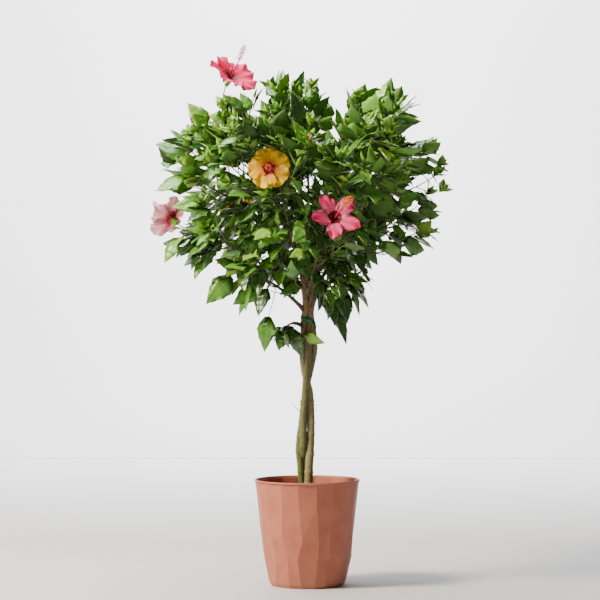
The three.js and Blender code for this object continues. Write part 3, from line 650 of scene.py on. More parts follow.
def limbs_along(name, paths, sides, finish, furrow_depth=0.0, furrows=(300.0, 300.0, 50.0)):
    """A piece of round limbs. Each path is (points, radii) in millimetres."""
    points, edges, radii = [], [], []
    for line, thick in paths:
        start = len(points)
        points += [tuple(p) for p in line]
        radii += [r * MM for r in thick]
        edges += [(start + k, start + k + 1) for k in range(len(line) - 1)]
    mesh = mesh_of(name + "_lines", points, [], edges=edges)
    mesh.attributes.new("thickness", "FLOAT", "POINT").data.foreach_set("value", radii)
    return shaped_by(wood_tree, mesh, name, Sides=sides, Furrow_depth=furrow_depth, Furrows=furrows,
                     Finish=finish)


def stem_path(stem, draw):
    """A stem's middle line and radii, swollen a little at each old leaf scar."""
    count = round((STEM_TOP + STEM_SUNK - STEM_FOOT) / STEM_STEP)
    heights = np.linspace(STEM_FOOT - STEM_SUNK, STEM_TOP, count)
    scars = np.arange(STEM_FOOT + 15 + 20 * draw(), STEM_TOP, SCAR_SPACING)
    scars = [z + (draw() - 0.5) * 18 for z in scars]
    swollen = [STOUTER + sum(SCAR_SWELL * math.exp(-((z - scar) / 3) ** 2) for scar in scars)
               for z in heights]
    inside = [min(max(z, STEM_FOOT), STEM_TOP) for z in heights]
    line = [stem_point(stem, at) * (1, 1, 0) + UP * z for at, z in zip(inside, heights)]
    return line, [stem_radius(stem, at) * more for at, more in zip(inside, swollen)]


def stub_path(stem, z, compass, length, radius):
    """A pruned stub or an old leaf stalk, rising from its stem."""
    turn = math.radians(compass)
    out = blend((np.array((math.cos(turn), math.sin(turn), 0)), 0.8), (UP, 0.6))
    foot = stem_point(stem, z)
    reach = stem_radius(stem, z) + length
    shares = (0.2, 0.5, 0.65, 0.8, 0.93, 1.0)
    widths = (1.25, 1.15, 1.0, 0.9, 0.85, 0.5)
    return [foot + out * reach * s for s in shares], [radius * w for w in widths]


def bark_material(name, foot, middle, top, algae):
    """Smooth young bark: satin, furrowed along the stem, paler on the ridges, with pale breathing pores."""
    made, tree, surface = new_material(name, IOR=1.45)
    place = add(tree, "ShaderNodeTexCoord").outputs["Object"]
    height = add(tree, "ShaderNodeSeparateXYZ", {"Vector": place}).outputs["Z"]
    lower = add(tree, "ShaderNodeMapRange", {"Value": height, "From Min": 0.26, "From Max": 0.52})
    # Higher up the bark turns to its top colour: tan, lifted paler as painted light against the crown's
    # shade.
    upper = add(tree, "ShaderNodeMapRange", {"Value": height, "From Min": 0.55, "From Max": 0.72})
    low_tone = add(tree, "ShaderNodeMix", {"Factor": lower, "A": foot, "B": middle},
                   data_type="RGBA")
    tone = add(tree, "ShaderNodeMix", {"Factor": upper, "A": low_tone, "B": top}, data_type="RGBA")
    long_way = add(tree, "ShaderNodeMapping", {"Vector": place, "Scale": (1.0, 1.0, 0.14)})
    streaks = add(tree, "ShaderNodeTexNoise", {
        "Vector": long_way, "Scale": scale_for(2.38), "Detail": 6.0, "Roughness": 0.65})
    contrast = add(tree, "ShaderNodeMapRange", {
        "Value": streaks, "From Min": 0.3, "From Max": 0.7, "To Min": 0.45, "To Max": 1.45})
    streaked = add(tree, "ShaderNodeVectorMath", {0: tone, "Scale": contrast}, operation="SCALE")
    patches = add(tree, "ShaderNodeTexNoise", {"Vector": place, "Scale": scale_for(14.3), "Detail": 4.0})
    mossy = add(tree, "ShaderNodeMapRange", {
        "Value": patches, "From Min": 0.45, "From Max": 0.62, "To Max": algae})
    fading = add(tree, "ShaderNodeMapRange", {
        "Value": height, "From Min": 0.62, "From Max": 0.3, "To Min": 0.25, "To Max": 1.0})
    cover = add(tree, "ShaderNodeMath", {0: mossy, 1: fading}, operation="MULTIPLY")
    green = add(tree, "ShaderNodeMix", {"Factor": cover, "A": streaked, "B": ALGAE_COLOUR},
                data_type="RGBA")
    pores = add(tree, "ShaderNodeTexVoronoi", {"Vector": place, "Scale": scale_for(4.167)})
    pore = add(tree, "ShaderNodeMapRange", {
        "Value": pores.outputs["Distance"], "From Min": 0.22, "From Max": 0.12, "To Max": 0.55})
    dotted = add(tree, "ShaderNodeMix", {"Factor": pore, "A": green, "B": PORE_COLOUR},
                 data_type="RGBA")
    dress(tree, surface, dotted, (streaks, 0.9, 0.0014), (streaks, 0.6, 0.85))
    return made


ALGAE_COLOUR = "5e6a26"
PORE_COLOUR = "b9ab8b"
# The top colours are the bark's tan, made paler as painted light that offsets the shade of the crown.
STEM_BARKS = (  # foot, middle and top colours, and how far algae covers the foot
    ("algae_green_bark", "55582c", "6c6847", "9c7454", 0.75),
    ("olive_bark", "5a5a2c", "66623f", "9a7456", 0.8),
    ("tan_bark", "8a7f53", "7c7452", "9e7656", 0.3),
)
draw = draws_from(5)
for stem, name in enumerate(("left", "middle", "right")):
    paths = [stem_path(stem, draw)]
    paths += [stub_path(*stub) for stub in STUBS if stub[0] == stem]
    piece = limbs_along(f"bark_{name}", paths, STEM_SIDES, bark_material(*STEM_BARKS[stem]), 0.0016,
                        (190.0, 190.0, 32.0))
    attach(piece, "root")
    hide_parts(f"stem_{name}")

# Tie: a strip of soft green tree tape wound round the three stems and knotted on the right, where its two
# short ends hang. It slopes down towards the knot.
TIE_HEIGHT = 668.0
TIE_SLOPE = 7.2  # half the drop from its highest place to its lowest
TIE_WIDTH = 11.0
TIE_THICK = 0.7
TIE_CLEAR = 0.9
TIE_STEPS = 72
TIE_KNOT = math.radians(-28)  # compass angle of the knot
KNOT_CLEAR = 2.5
KNOT_STEPS = 20
KNOT_TURNS = ((0.5, 0.0), (-0.4, 1.1))  # lean and roll of the two turns of the knot
TAIL_STEPS = 12
TAILS = ((0.85, 0.55, 26), (0.45, 0.95, 17))  # drop, spread and length of the two loose ends
tie_points, tie_faces = [], []


def tie_seat(turn, clear):
    """The way outwards at a compass angle, and the tie's place there on the bark of the outermost stem."""
    out = np.array((math.cos(turn), math.sin(turn), 0))
    near = max(range(3), key=lambda s: stem_point(s, TIE_HEIGHT) @ out + stem_radius(s, TIE_HEIGHT))
    seat = stem_point(near, TIE_HEIGHT) + out * (stem_radius(near, TIE_HEIGHT) + clear)
    return out, seat - UP * TIE_SLOPE * math.cos(turn)


def lay_strip(path, widths, thick, closed=False):
    """Adds a thin strip along a path to the tie, with the width direction given at each point."""
    start, count = len(tie_points), len(path)
    for k in range(count):
        before = path[k - 1] if closed or k else path[k]
        after = path[(k + 1) % count] if closed or k < count - 1 else path[k]
        face = unit(np.cross(widths[k], after - before)) * thick / 2
        for side, sign in ((-0.5, -1), (-0.5, 1), (0.5, 1), (0.5, -1)):
            tie_points.append(path[k] + widths[k] * side + face * sign)
    sides = []
    for k in range(count if closed else count - 1):
        here, there = 4 * k, 4 * ((k + 1) % count)
        sides += [(here + j, here + (j + 1) % 4, there + (j + 1) % 4, there + j) for j in range(4)]
    if not closed:
        sides += [(3, 2, 1, 0), tuple(range(4 * count - 4, 4 * count))]
    tie_faces.extend(tuple(start + i for i in side) for side in sides)


draw = draws_from(19)
crumple = [draw() - 0.5 for _ in range(TIE_STEPS)]
band_path, band_widths = [], []
for k in range(TIE_STEPS):
    turn = math.tau * k / TIE_STEPS
    out, seat = tie_seat(turn, TIE_CLEAR + 0.5 * crumple[k])
    band_path.append(seat + UP * 0.7 * crumple[k - 7])
    pinch = 1 - 0.45 * math.exp(-((turn - TIE_KNOT) % (math.tau)) ** 2 / 0.05)
    band_widths.append((UP + 0.25 * crumple[k - 3] * np.cross(UP, out)) * TIE_WIDTH * pinch)
lay_strip(band_path, band_widths, TIE_THICK, True)

knot_out, knot = tie_seat(TIE_KNOT, KNOT_CLEAR)
knot_across = np.cross(UP, knot_out)
for lean, roll in KNOT_TURNS:
    side = blend((knot_across, math.cos(roll)), (UP, math.sin(roll)))
    turns = [math.tau * k / KNOT_STEPS for k in range(KNOT_STEPS)]
    loop = [knot + knot_out * 2.6 * math.cos(turn) + side * 4.2 * math.sin(turn) for turn in turns]
    width = blend((np.cross(knot_out, side), 1), (knot_out, 0.4 * lean)) * 6.5
    lay_strip(loop, [width] * KNOT_STEPS, 1.0, True)
for drop, spread, length in TAILS:
    tail = [knot]
    heading = blend((knot_out, 0.7), (knot_across, -0.35), (UP, -0.25))
    for k in range(TAIL_STEPS):
        heading = blend((heading, 1), (UP, -0.16 * drop), (knot_across, -0.1 * spread))
        tail.append(tail[-1] + heading * length / TAIL_STEPS)
    twist = [blend((UP, 1), (knot_across, 0.08 * k * spread)) * (6.0 + 0.3 * k) for k in range(len(tail))]
    lay_strip(tail, twist, 0.6)

# Stretched vinyl tape: green, a little glossy, with fine creases across it
tape, tree, surface = new_material("stretched_vinyl_tape", IOR=1.53)
place = add(tree, "ShaderNodeTexCoord").outputs["Object"]
across = add(tree, "ShaderNodeMapping", {"Vector": place, "Scale": (1.0, 1.0, 0.35)})
tone, creases = patchy_tone(tree, across, ("0b5238", "1d8a63"), 2, 4.0)
dress(tree, surface, tone, (creases, 0.6, 0.0006), (creases, 0.28, 0.5))

tie = new_object("tree_tape", mesh_of("tree_tape", tie_points, tie_faces), tape)
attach(tie, "root")
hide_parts("trunk_tie")

# Boughs: seventeen limbs spring from the top of the plait and arch outwards. Each one is bare at first and
# then becomes the leader of a mass of foliage. Their bark is thin, greener and smoother towards the tip.
BRANCHES = (  # name, stem it leaves, height where it leaves, far tip x, y, z, and the rise of its bend
    ("top", 0, 800, -2, -25, 1205, 240),
    ("left_top", 2, 800, -198, -45, 1158, 195),
    ("right_top", 1, 800, 176, -25, 1192, 200),
    ("left_upper", 0, 782, -262, 10, 1108, 120),
    ("right_upper", 1, 782, 226, 20, 1088, 120),
    ("back_top", 0, 760, -30, 170, 1150, 170),
    ("front_left", 2, 778, -90, -190, 1118, 140),
    ("front_right", 1, 764, 98, -180, 1122, 140),
    ("back_left", 0, 738, -165, 170, 1010, 90),
    ("back_right", 1, 744, 145, 190, 1010, 90),
    ("left_side", 2, 750, -262, -62, 908, 70),
    ("right_side", 1, 728, 200, -65, 950, 75),
    ("front_low", 2, 722, 40, -200, 900, 70),
    ("back_low", 0, 716, 10, 200, 890, 70),
    ("low_left", 2, 690, -172, -92, 780, 100),
    ("low_right", 1, 696, 68, -82, 770, 90),
    ("trunk_spur", 2, 650, -62, -48, 640, 25),
)
GAP = 0.3
PLAIT_TOP = 800  # where the limbs of the crown's top leave the stems
BOUGH_RADIUS = 5.6  # where a bough leaves its stem
TWIG_TIP_RADIUS = 2.0
BEND_REACH = 0.55  # how far out the bend of a branch lies
TOP_BEND_REACH = 0.35  # the same for those that leave at the top of the plait
CELL_SHARE = 0.8  # how far along a branch the middle of its mass lies
LEADER_MARGIN = 7
LEAST_BARE = 0.34  # the least share of a branch that is bare
SOCKET = 6.0  # how far back into the wood a limb is rooted
OLD_SCARS = 30  # spacing of the old leaf scars on a bough


def at(curve, t):
    """A point of a quadratic curve, given by its foot, its bend and its tip."""
    rest = 1 - t
    return rest * rest * curve[0] + 2 * rest * t * curve[1] + t * t * curve[2]


def heading_at(curve, t):
    return unit(at(curve, min(1, t + 1e-4)) - at(curve, max(0, t - 1e-4)))


def length_of(curve):
    points = at(curve[:, None, :], np.linspace(0, 1, 201)[:, None])
    return float(np.sqrt((np.diff(points, axis=0) ** 2).sum(1)).sum())


def walk(curve, t0, t1, count):
    """Evenly spaced shares of a curve and the points there."""
    shares = [mix(t0, t1, k / count) for k in range(count + 1)]
    return shares, np.array([at(curve, t) for t in shares])


def branch_from(name, stem, start, x, y, z, rise):
    """A branch: its curve, and the point round which its own space lies."""
    foot, reach = stem_point(stem, start), BEND_REACH
    if start == PLAIT_TOP:
        foot, reach = foot + UP * GAP, TOP_BEND_REACH
    bend = (mix(foot[0], x, reach), mix(foot[1], y, reach), foot[2] + rise)
    curve = np.array((foot, bend, (x, y, z)), float)
    return {"name": name, "curve": curve, "cell": at(curve, CELL_SHARE)}


def branch_radius(t):
    return mix(BOUGH_RADIUS, TWIG_TIP_RADIUS, t ** 0.8)


def in_cell(branch, points, margin):
    """Whether all points lie nearer to the branch's cell point than to any other's, by a margin."""
    if branch is None:
        return True
    offset = np.atleast_2d(points)[:, None, :] - branch["middles"]
    return bool(((offset * branch["across"]).sum(2) / branch["apart"] <= -margin).all())


branches = [branch_from(*row) for row in BRANCHES]
for branch in branches:
    others = np.array([other["cell"] for other in branches if other is not branch])
    branch["across"] = others - branch["cell"]
    branch["apart"] = np.sqrt((branch["across"] ** 2).sum(1))
    branch["middles"] = (others + branch["cell"]) * 0.5
STEPS = 100
for branch in branches:
    entry = STEPS
    while entry > 0 and in_cell(branch, at(branch["curve"], (entry - 1) / STEPS), LEADER_MARGIN):
        entry -= 1
    branch["entry"] = max(LEAST_BARE, entry / STEPS)


def bough_path(branch, draw):
    """A bough from its socket in the stem to its tip, with a collar at its foot and old leaf scars."""
    curve = branch["curve"]
    span = length_of(curve)
    shares = np.linspace(0, 1, max(12, round(span / 5)))
    foot = curve[0] - heading_at(curve, 0) * SOCKET
    line = [foot, *(at(curve, t) for t in shares)]
    phase = draw() * OLD_SCARS
    radii = [branch_radius(0)]
    for t in shares:
        along = t * span
        collar = 1 + 0.3 * math.exp(-along / 14)
        scar = 1 + 0.09 * math.exp(-(((along + phase) % OLD_SCARS - OLD_SCARS / 2) / 3.5) ** 2)
        radii.append(branch_radius(t) * mix(1, 0.72, t) * collar * scar)
    radii[-1] *= 0.6
    return line, radii


# Thin bark of young limbs: brown and satin on the thick part, green where it is thinner
twig_bark, tree, surface = new_material("young_twig_bark", IOR=1.45)
place = add(tree, "ShaderNodeTexCoord").outputs["Object"]
thick = add(tree, "ShaderNodeAttribute", attribute_name="thickness").outputs["Fac"]
age = add(tree, "ShaderNodeMapRange", {"Value": thick, "From Min": 0.0012, "From Max": 0.0036})
tone = add(tree, "ShaderNodeMix", {"Factor": age, "A": "5d6a2e", "B": "574838"}, data_type="RGBA")
streaks = add(tree, "ShaderNodeTexNoise", {"Vector": place, "Scale": scale_for(3.03), "Detail": 4.0})
contrast = add(tree, "ShaderNodeMapRange", {
    "Value": streaks, "From Min": 0.3, "From Max": 0.7, "To Min": 0.65, "To Max": 1.2})
streaked = add(tree, "ShaderNodeVectorMath", {0: tone, "Scale": contrast}, operation="SCALE")
dress(tree, surface, streaked, (streaks, 0.5, 0.0006), (streaks, 0.5, 0.75))
draw = draws_from(23)
boughs = limbs_along("boughs", [bough_path(branch, draw) for branch in branches], 12, twig_bark, 0.0007,
                     (260.0, 260.0, 120.0))
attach(boughs, "root")
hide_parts(*("bough_" + branch["name"] for branch in branches))

# Twigs: five shoots spring from each leader at the golden angle and curve upwards, and finer twigs spring
# from them in turn. All keep to the space of their own mass and clear of the boughs and the flowers.
GOLDEN = math.radians(137.5)
UNDERSIDE = (720, 0.5)  # where nothing of the crown hangs lower: the height near the trunk, and the rise
HANGING_UNDERSIDE = (570, 1.0)  # the same for the masses that hang
HANGING = ("left_side", "low_left", "low_right", "trunk_spur")
UNDERSIDE_START = 90  # how far out the underside begins to rise
SHOOTS = ((0.02, 1.0), (0.18, 1.0), (0.36, 0.9), (0.56, 0.8), (0.76, 0.6))  # share along the leader, size
SHOOT_LENGTH = 170
FULL_LEADER = 130  # a leader shorter than this has shoots in proportion
SHOOT_SPREAD = 0.95  # radians away from the leader
SHOOT_LIFT = 0.24  # how much a shoot curves up, as a share of its length
SHORTER = (1, 0.8, 0.62, 0.46)  # the lengths at which a shoot is tried
TRIES = 8  # angles round its twig at which a shoot or a leaf is tried
CELL_MARGIN = 1.2
LEAF_LENGTH = 98
LEAF_SPACING = 32
LEAF_WIDTH = 0.74
LEAF_WIDEST = 0.4
LEAF_KEEL = 0.028
LEAF_APART = 0.3
STALK_LENGTH = 20
TIP_LEAVES = 3
PERK = 0.8  # how much less the leaves hang at the top of the crown, where the light is
PERK_START = 780
PERK_RANGE = 320
FINE_SPACING = 52.0
FINE_LENGTH = (54, 100)
FINE_LEAF = 84
FINE_LEAF_SPACING = 27.0
OPEN_BELOW = ("low_left", "low_right", "left_side", "right_side", "back_low", "left_upper")
OPEN_MASSES = 2.2  # how much further apart the fine twigs are in those
INNER_LEAF = 88
INNER_SPACING = 24.0
INNER_LENGTH = (70, 150)
INNER_START = 0.08  # share of its bough that an inner twig keeps clear of
INNER_LOWEST = 650
INNER_REACH = 190
INNER_NUMBERS = 200  # the first number of the inner twigs of a mass
BARE_OF_FINE = ("low_left", "trunk_spur")  # masses of single leaves, without finer twigs
HANGING_LEAVES = (  # foot, bend and tip of the thin twig it hangs from, tip of the leaf, width, tint
    ((-118, -30, 828), (-140, -55, 848), (-151, -78, 830), (-159, -92, 738), 0.98, 1),
    ((-166, -88, 781), (-184, -98, 790), (-189, -104, 777), (-251, -112, 708), 0.95, 1),
    ((-112, -60, 771), (-124, -80, 768), (-122, -90, 751), (-184, -104, 705), 0.9, 2),
    ((-112, -60, 771), (-130, -86, 764), (-137, -94, 748), (-117, -98, 700), 0.9, 1),
    ((-80, -42, 756), (-78, -72, 730), (-97, -84, 677), (-109, -88, 588), 0.8, 1),
    ((-60, -46, 641), (-66, -54, 644), (-67, -56, 627), (-71, -58, 590), 0.9, 1),
    ((-22, -18, 654), (-34, -34, 662), (-35, -36, 644), (-12, -42, 570), 0.8, 0),
    ((4, -18, 640), (-4, -26, 644), (-7, -30, 630), (44, -44, 607), 0.9, 3),
    ((60, -74, 768), (80, -84, 744), (75, -84, 692), (102, -88, 605), 0.5, 0),
    ((46, -50, 760), (62, -66, 772), (60, -76, 738), (92, -92, 682), 0.9, 3),
    ((-258, -61, 904), (-308, -70, 912), (-322, -75, 872), (-360, -80, 813), 0.9, 2),
    ((-238, -55, 890), (-266, -70, 880), (-260, -72, 818), (-285, -76, 768), 0.8, 2),
)
BLOOMS = (  # mass, throat, facing, diameter
    ("left_top", (-190, -66, 1276), (0.46, -0.5, 0.73), 132),
    ("front_left", (-92, -250, 1032), (-0.1, -0.95, 0.22), 104),
    ("front_low", (66, -270, 914), (0.2, -0.9, 0.34), 126),
    ("left_side", (-341, -56, 921), (-0.66, 0.56, 0.5), 112),
    ("back_right", (140, 265, 1010), (0.35, 0.86, 0.35), 108),
    ("back_left", (-180, 245, 950), (-0.45, 0.85, 0.22), 104),
)


def round_axis(axis, angle):
    """The direction at right angles to an axis that lies at a given angle round it."""
    side = np.cross(axis, UP)
    if math.sqrt(side @ side) < 0.05:
        side = np.array((1.0, 0.0, 0.0))
    side = unit(side)
    front = np.cross(side, axis)
    return blend((side, math.cos(angle)), (front, math.sin(angle)))


limb_points, limb_radii = [], []
for stem in range(3):
    for z in np.arange(STEM_FOOT, STEM_TOP + 1e-6, 6):
        limb_points.append(stem_point(stem, z))
        limb_radii.append(stem_radius(stem, z))
for branch in branches:
    shares, points = walk(branch["curve"], 0, branch["entry"], 60)
    limb_points.extend(points)
    limb_radii.extend(branch_radius(t) for t in shares)
limb_points = np.array(limb_points)
limb_radii = np.array(limb_radii)
bloom_points = np.array([np.array(spot) + unit(np.array(facing)) * 0.2 * d for _, spot, facing, d in BLOOMS])
bloom_radii = np.array([0.5 * d for *_, d in BLOOMS])


def distances(points, others):
    return np.sqrt(((points[:, None, :] - others) ** 2).sum(2))


def pierced(starts, ends, triangles):
    """Whether any of the lines passes through any of the triangles."""
    corner = triangles[:, 0]
    one, two = triangles[:, 1] - corner, triangles[:, 2] - corner
    normal = np.cross(one, two)
    before = ((starts[:, None] - corner) * normal).sum(2)
    after = ((ends[:, None] - corner) * normal).sum(2)
    line, face = np.nonzero(before * after < 0)
    if len(line) == 0:
        return False
    share = before[line, face] / (before[line, face] - after[line, face])
    hit = starts[line] + (ends[line] - starts[line]) * share[:, None] - corner[face]
    one, two, normal = one[face], two[face], normal[face]
    area = (normal ** 2).sum(1)
    u = (np.cross(hit, two) * normal).sum(1) / area
    v = (np.cross(one, hit) * normal).sum(1) / area
    return bool(((u >= 0) & (v >= 0) & (u + v <= 1)).any())


def lowest_at(branch, points):
    """The underside of the crown above or below each point."""
    base, rise = HANGING_UNDERSIDE if branch and branch["name"] in HANGING else UNDERSIDE
    return base + rise * np.maximum(0, np.hypot(points[:, 0], points[:, 1]) - UNDERSIDE_START)


def crown_out(p):
    return unit(np.array((p[0], p[1], 0.7 * (p[2] - 930))))


def leaf_at(node, axis, angle, length, droop, roll):
    """The frame of a leaf: its stalk, and the direction, width and face of its blade."""
    away = round_axis(axis, angle)
    out = crown_out(node)
    stalk = blend((away, 0.85), (axis, 0.5))
    base = node + stalk * STALK_LENGTH * (length / LEAF_LENGTH)
    d = blend((away, 0.55), (axis, 0.12), (out, 0.6), (UP, -droop))
    side = np.cross(d, UP)
    face = blend((UP, 0.7), (out, 0.6), (side, roll))
    n = blend((face, 1), (d, -(face @ d)))
    return {"node": node, "stalk": stalk, "base": base, "d": d, "n": n, "w": np.cross(n, d), "length": length}


grown_centres = np.zeros((6000, 3))
grown_lengths = np.zeros(6000)
grown_outlines = np.zeros((6000, 4, 3))  # where a leaf starts, its right, its left and its tip
grown_count = 0


def edges_of(outlines):
    """The lines round a leaf and along its middle."""
    starts = outlines[:, [0, 1, 3, 2, 0]].reshape(-1, 3)
    ends = outlines[:, [1, 3, 2, 0, 3]].reshape(-1, 3)
    return starts, ends


def halves_of(outlines):
    return outlines[:, [[0, 1, 3], [0, 3, 2]]].reshape(-1, 3, 3)


def leaf_fits(branch, leaf, own_points, own_radii, inside=None):
    """Whether a leaf keeps to its space and clear of leaves, blooms and limbs; if so it is kept."""
    global grown_count
    base, d, n, w, length = (leaf[key] for key in ("base", "d", "n", "w", "length"))
    middle = base + d * LEAF_WIDEST * length + n * 0.02 * length
    tip = base + d * 0.98 * length - n * 0.14 * length
    half = w * LEAF_WIDTH * length / 2
    right, left = middle + half, middle - half
    keel = middle - n * LEAF_KEEL * length
    corners = np.array((right, left, tip))
    if (corners[:, 2] < lowest_at(branch, corners)).any():
        return False
    if not in_cell(branch, np.array((right, left, keel, tip, base)), CELL_MARGIN):
        return False
    if inside is not None and not inside(corners):
        return False
    centre = base + d * 0.5 * length
    others = slice(0, grown_count)
    far = np.sqrt(((grown_centres[others] - centre) ** 2).sum(1))
    if (far < LEAF_APART * length).any():
        return False
    outline = np.array(((leaf["node"] + leaf["stalk"] * 3, right, left, tip),))
    near = np.nonzero(far <= 0.65 * (length + grown_lengths[others]))[0]
    if len(near):
        beside = grown_outlines[near]
        if pierced(*edges_of(outline), halves_of(beside)) or pierced(*edges_of(beside), halves_of(outline)):
            return False
    if (distances(np.array((middle, tip, right, left)), bloom_points) < bloom_radii).any():
        return False
    points = np.concatenate((limb_points, own_points))
    reach = np.concatenate((limb_radii, own_radii)) + 2.5
    elsewhere = ((points - leaf["node"]) ** 2).sum(1) >= 20 ** 2
    v = points - base
    u = v @ d
    share = np.clip(u / length, 0, 1)
    taper = np.where(share < LEAF_WIDEST, share / LEAF_WIDEST, (1 - share) / (1 - LEAF_WIDEST))
    touches = elsewhere & (u >= -reach) & (u <= length + reach)
    touches &= np.abs(v @ n) <= reach + 0.1 * length
    touches &= np.abs(v @ w) < (LEAF_WIDTH * length * taper) / 2 + reach
    if touches.any():
        return False
    grown_centres[grown_count] = centre
    grown_lengths[grown_count] = length
    grown_outlines[grown_count] = outline[0]
    grown_count += 1
    return True


def shoot_fits(branch, curve):
    shares, points = walk(curve, 0.15, 1, 8)
    if not in_cell(branch, points, 4) or (points[:, 2] < lowest_at(branch, points) + 20).any():
        return False
    if (distances(points, bloom_points) < bloom_radii + 4).any():
        return False
    outer = points[np.array(shares) >= 0.3]
    return bool((distances(outer, limb_points) > limb_radii + 5).all())


def grow_shoot(node, axis, angle, length, fits):
    """Tries a shoot, which curves up as it goes, at several angles round its twig, then shorter."""
    for shorter in SHORTER:
        for k in range(TRIES):
            away = round_axis(axis, angle + k * math.tau / TRIES)
            direction = blend((axis, math.cos(SHOOT_SPREAD)), (away, math.sin(SHOOT_SPREAD)))
            reach = shorter * length
            bend = node + direction * 0.5 * reach
            curve = np.array((node, bend, node + direction * 0.92 * reach + UP * SHOOT_LIFT * reach))
            if fits(curve):
                return curve
    return None


def place_leaf(mass, twig, node, axis, angle, length, droop, roll, young, inside=None):
    """Tries a leaf at its own angle, then at others round the twig, and leaves it out if none fits."""
    for k in range(TRIES):
        leaf = leaf_at(node, axis, angle + k * math.tau / TRIES, length, droop, roll)
        if leaf_fits(mass["branch"], leaf, mass["own_points"], mass["own_radii"], inside):
            mass["leaves"].append({**leaf, "twig": twig, "young": young})
            return


def clothe(mass, twig, curve, t0, size, spacing, draw, inside=None):
    """Leaves along a twig, with smaller ones in a tuft at its tip."""
    span = length_of(curve) * (1 - t0)
    count = max(2, math.floor(span / spacing + 0.5))
    angle = draw() * math.tau
    for k in range(count):
        t = mix(t0, 1, (k + 0.55) / count)
        node = at(curve, t)
        length = size * mix(0.78, 1.1, draw()) * (0.85 if k > count - 2 else 1)
        droop = mix(0.1, 1.2, draw()) - PERK * min(1, max(0, (node[2] - PERK_START) / PERK_RANGE))
        roll = mix(-0.8, 0.8, draw())
        place_leaf(mass, twig, node, heading_at(curve, t), angle, length, droop, roll, 0, inside)
        angle += GOLDEN
    for k in range(TIP_LEAVES):
        node = at(curve, 1 - (3 + 6 * k) / span)
        length = size * mix(0.5, 0.75, draw())
        droop = mix(-0.4, 0.5, draw())
        place_leaf(mass, twig, node, heading_at(curve, 1), angle, length, droop, 0, 1, inside)
        angle += math.tau / TIP_LEAVES


def grow_mass(branch, index):
    """The leader of a mass, its shoots, their leaves, and the places of its buds."""
    draw = draws_from(1225 + 37 * index)
    leader, entry = branch["curve"], branch["entry"]
    vigour = min(1, length_of(leader) * (1 - entry) / FULL_LEADER)
    twigs = [(leader, entry, lambda t: 1.25 * branch_radius(t))]
    for k, (share, size) in enumerate(SHOOTS if vigour >= 0.6 else ()):
        t = mix(entry, 1, share)
        angle = k * GOLDEN + draw() * math.pi
        length = size * vigour * SHOOT_LENGTH
        curve = grow_shoot(at(leader, t), heading_at(leader, t), angle, length,
                           lambda curve: shoot_fits(branch, curve))
        if curve is not None:
            twigs.append((curve, 0, lambda s: mix(3.4, 2.2, s)))
    mass = {"branch": branch, "vigour": vigour, "twigs": twigs, "leaves": [], "draw": draw}
    walked = [(walk(curve, t0, 1, 24), radius_at) for curve, t0, radius_at in twigs]
    mass["own_points"] = np.concatenate([points for (_, points), _ in walked])
    mass["own_radii"] = np.array([radius_at(t) for (shares, _), radius_at in walked for t in shares])
    size = LEAF_LENGTH * mix(0.6, 1, vigour)
    for k, (curve, t0, _) in enumerate(twigs):
        clothe(mass, k, curve, 0.18 if k else t0 + 0.03, size, LEAF_SPACING, draw)
    return mass


masses = [grow_mass(branch, index) for index, branch in enumerate(branches)]


def reach_of(mass):
    """A test of whether points lie within the hull that a mass's own leaves reach."""
    way = (-1.0, 0.0, 1.0)
    sides = np.array([unit(np.array((x, y, z))) for x in way for y in way for z in way if x or y or z])
    tips = np.array([leaf["base"] + leaf["d"] * 0.98 * leaf["length"] for leaf in mass["leaves"]])
    tips = np.concatenate((tips, mass["own_points"]))
    furthest = (tips @ sides.T).max(0)
    return lambda points: bool((points @ sides.T <= furthest).all())


def between_leaves(line, near):
    """Whether a line runs between the leaves that are there already, as far as they lie near its end."""
    close = distances(line[-1:], grown_centres[:grown_count])[0] < near
    return not pierced(line[:-1], line[1:], halves_of(grown_outlines[:grown_count][close]))


def grow_fine_twigs(mass, index):
    """Finer twigs along every twig of a mass, each with a few small leaves, within the same reach."""
    draw = draws_from(5200 + 61 * index)
    branch = mass["branch"]
    inside = reach_of(mass)
    mass["fine"] = []

    def fits(curve):
        _, points = walk(curve, 0.3, 1, 5)
        return inside(points) and shoot_fits(branch, curve) and between_leaves(points, 120)

    spacing = FINE_SPACING * (OPEN_MASSES if branch["name"] in OPEN_BELOW else 1)
    for k, (curve, t0, _) in enumerate(mass["twigs"] if branch["name"] not in BARE_OF_FINE else ()):
        start = t0 if k == 0 else 0.15
        count = max(1, round(length_of(curve) * (1 - start) / spacing))
        for j in range(count):
            t = mix(start, 0.97, (j + 0.3 * draw()) / count)
            length = mix(*FINE_LENGTH, draw()) * mix(0.7, 1, mass["vigour"])
            fine = grow_shoot(at(curve, t), heading_at(curve, t), draw() * math.tau, length, fits)
            if fine is not None:
                mass["fine"].append(fine)
                twig = len(mass["twigs"]) + len(mass["fine"])
                size = FINE_LEAF * mix(0.8, 1.15, draw())
                clothe(mass, twig, fine, 0.25, size, FINE_LEAF_SPACING, draw, inside)


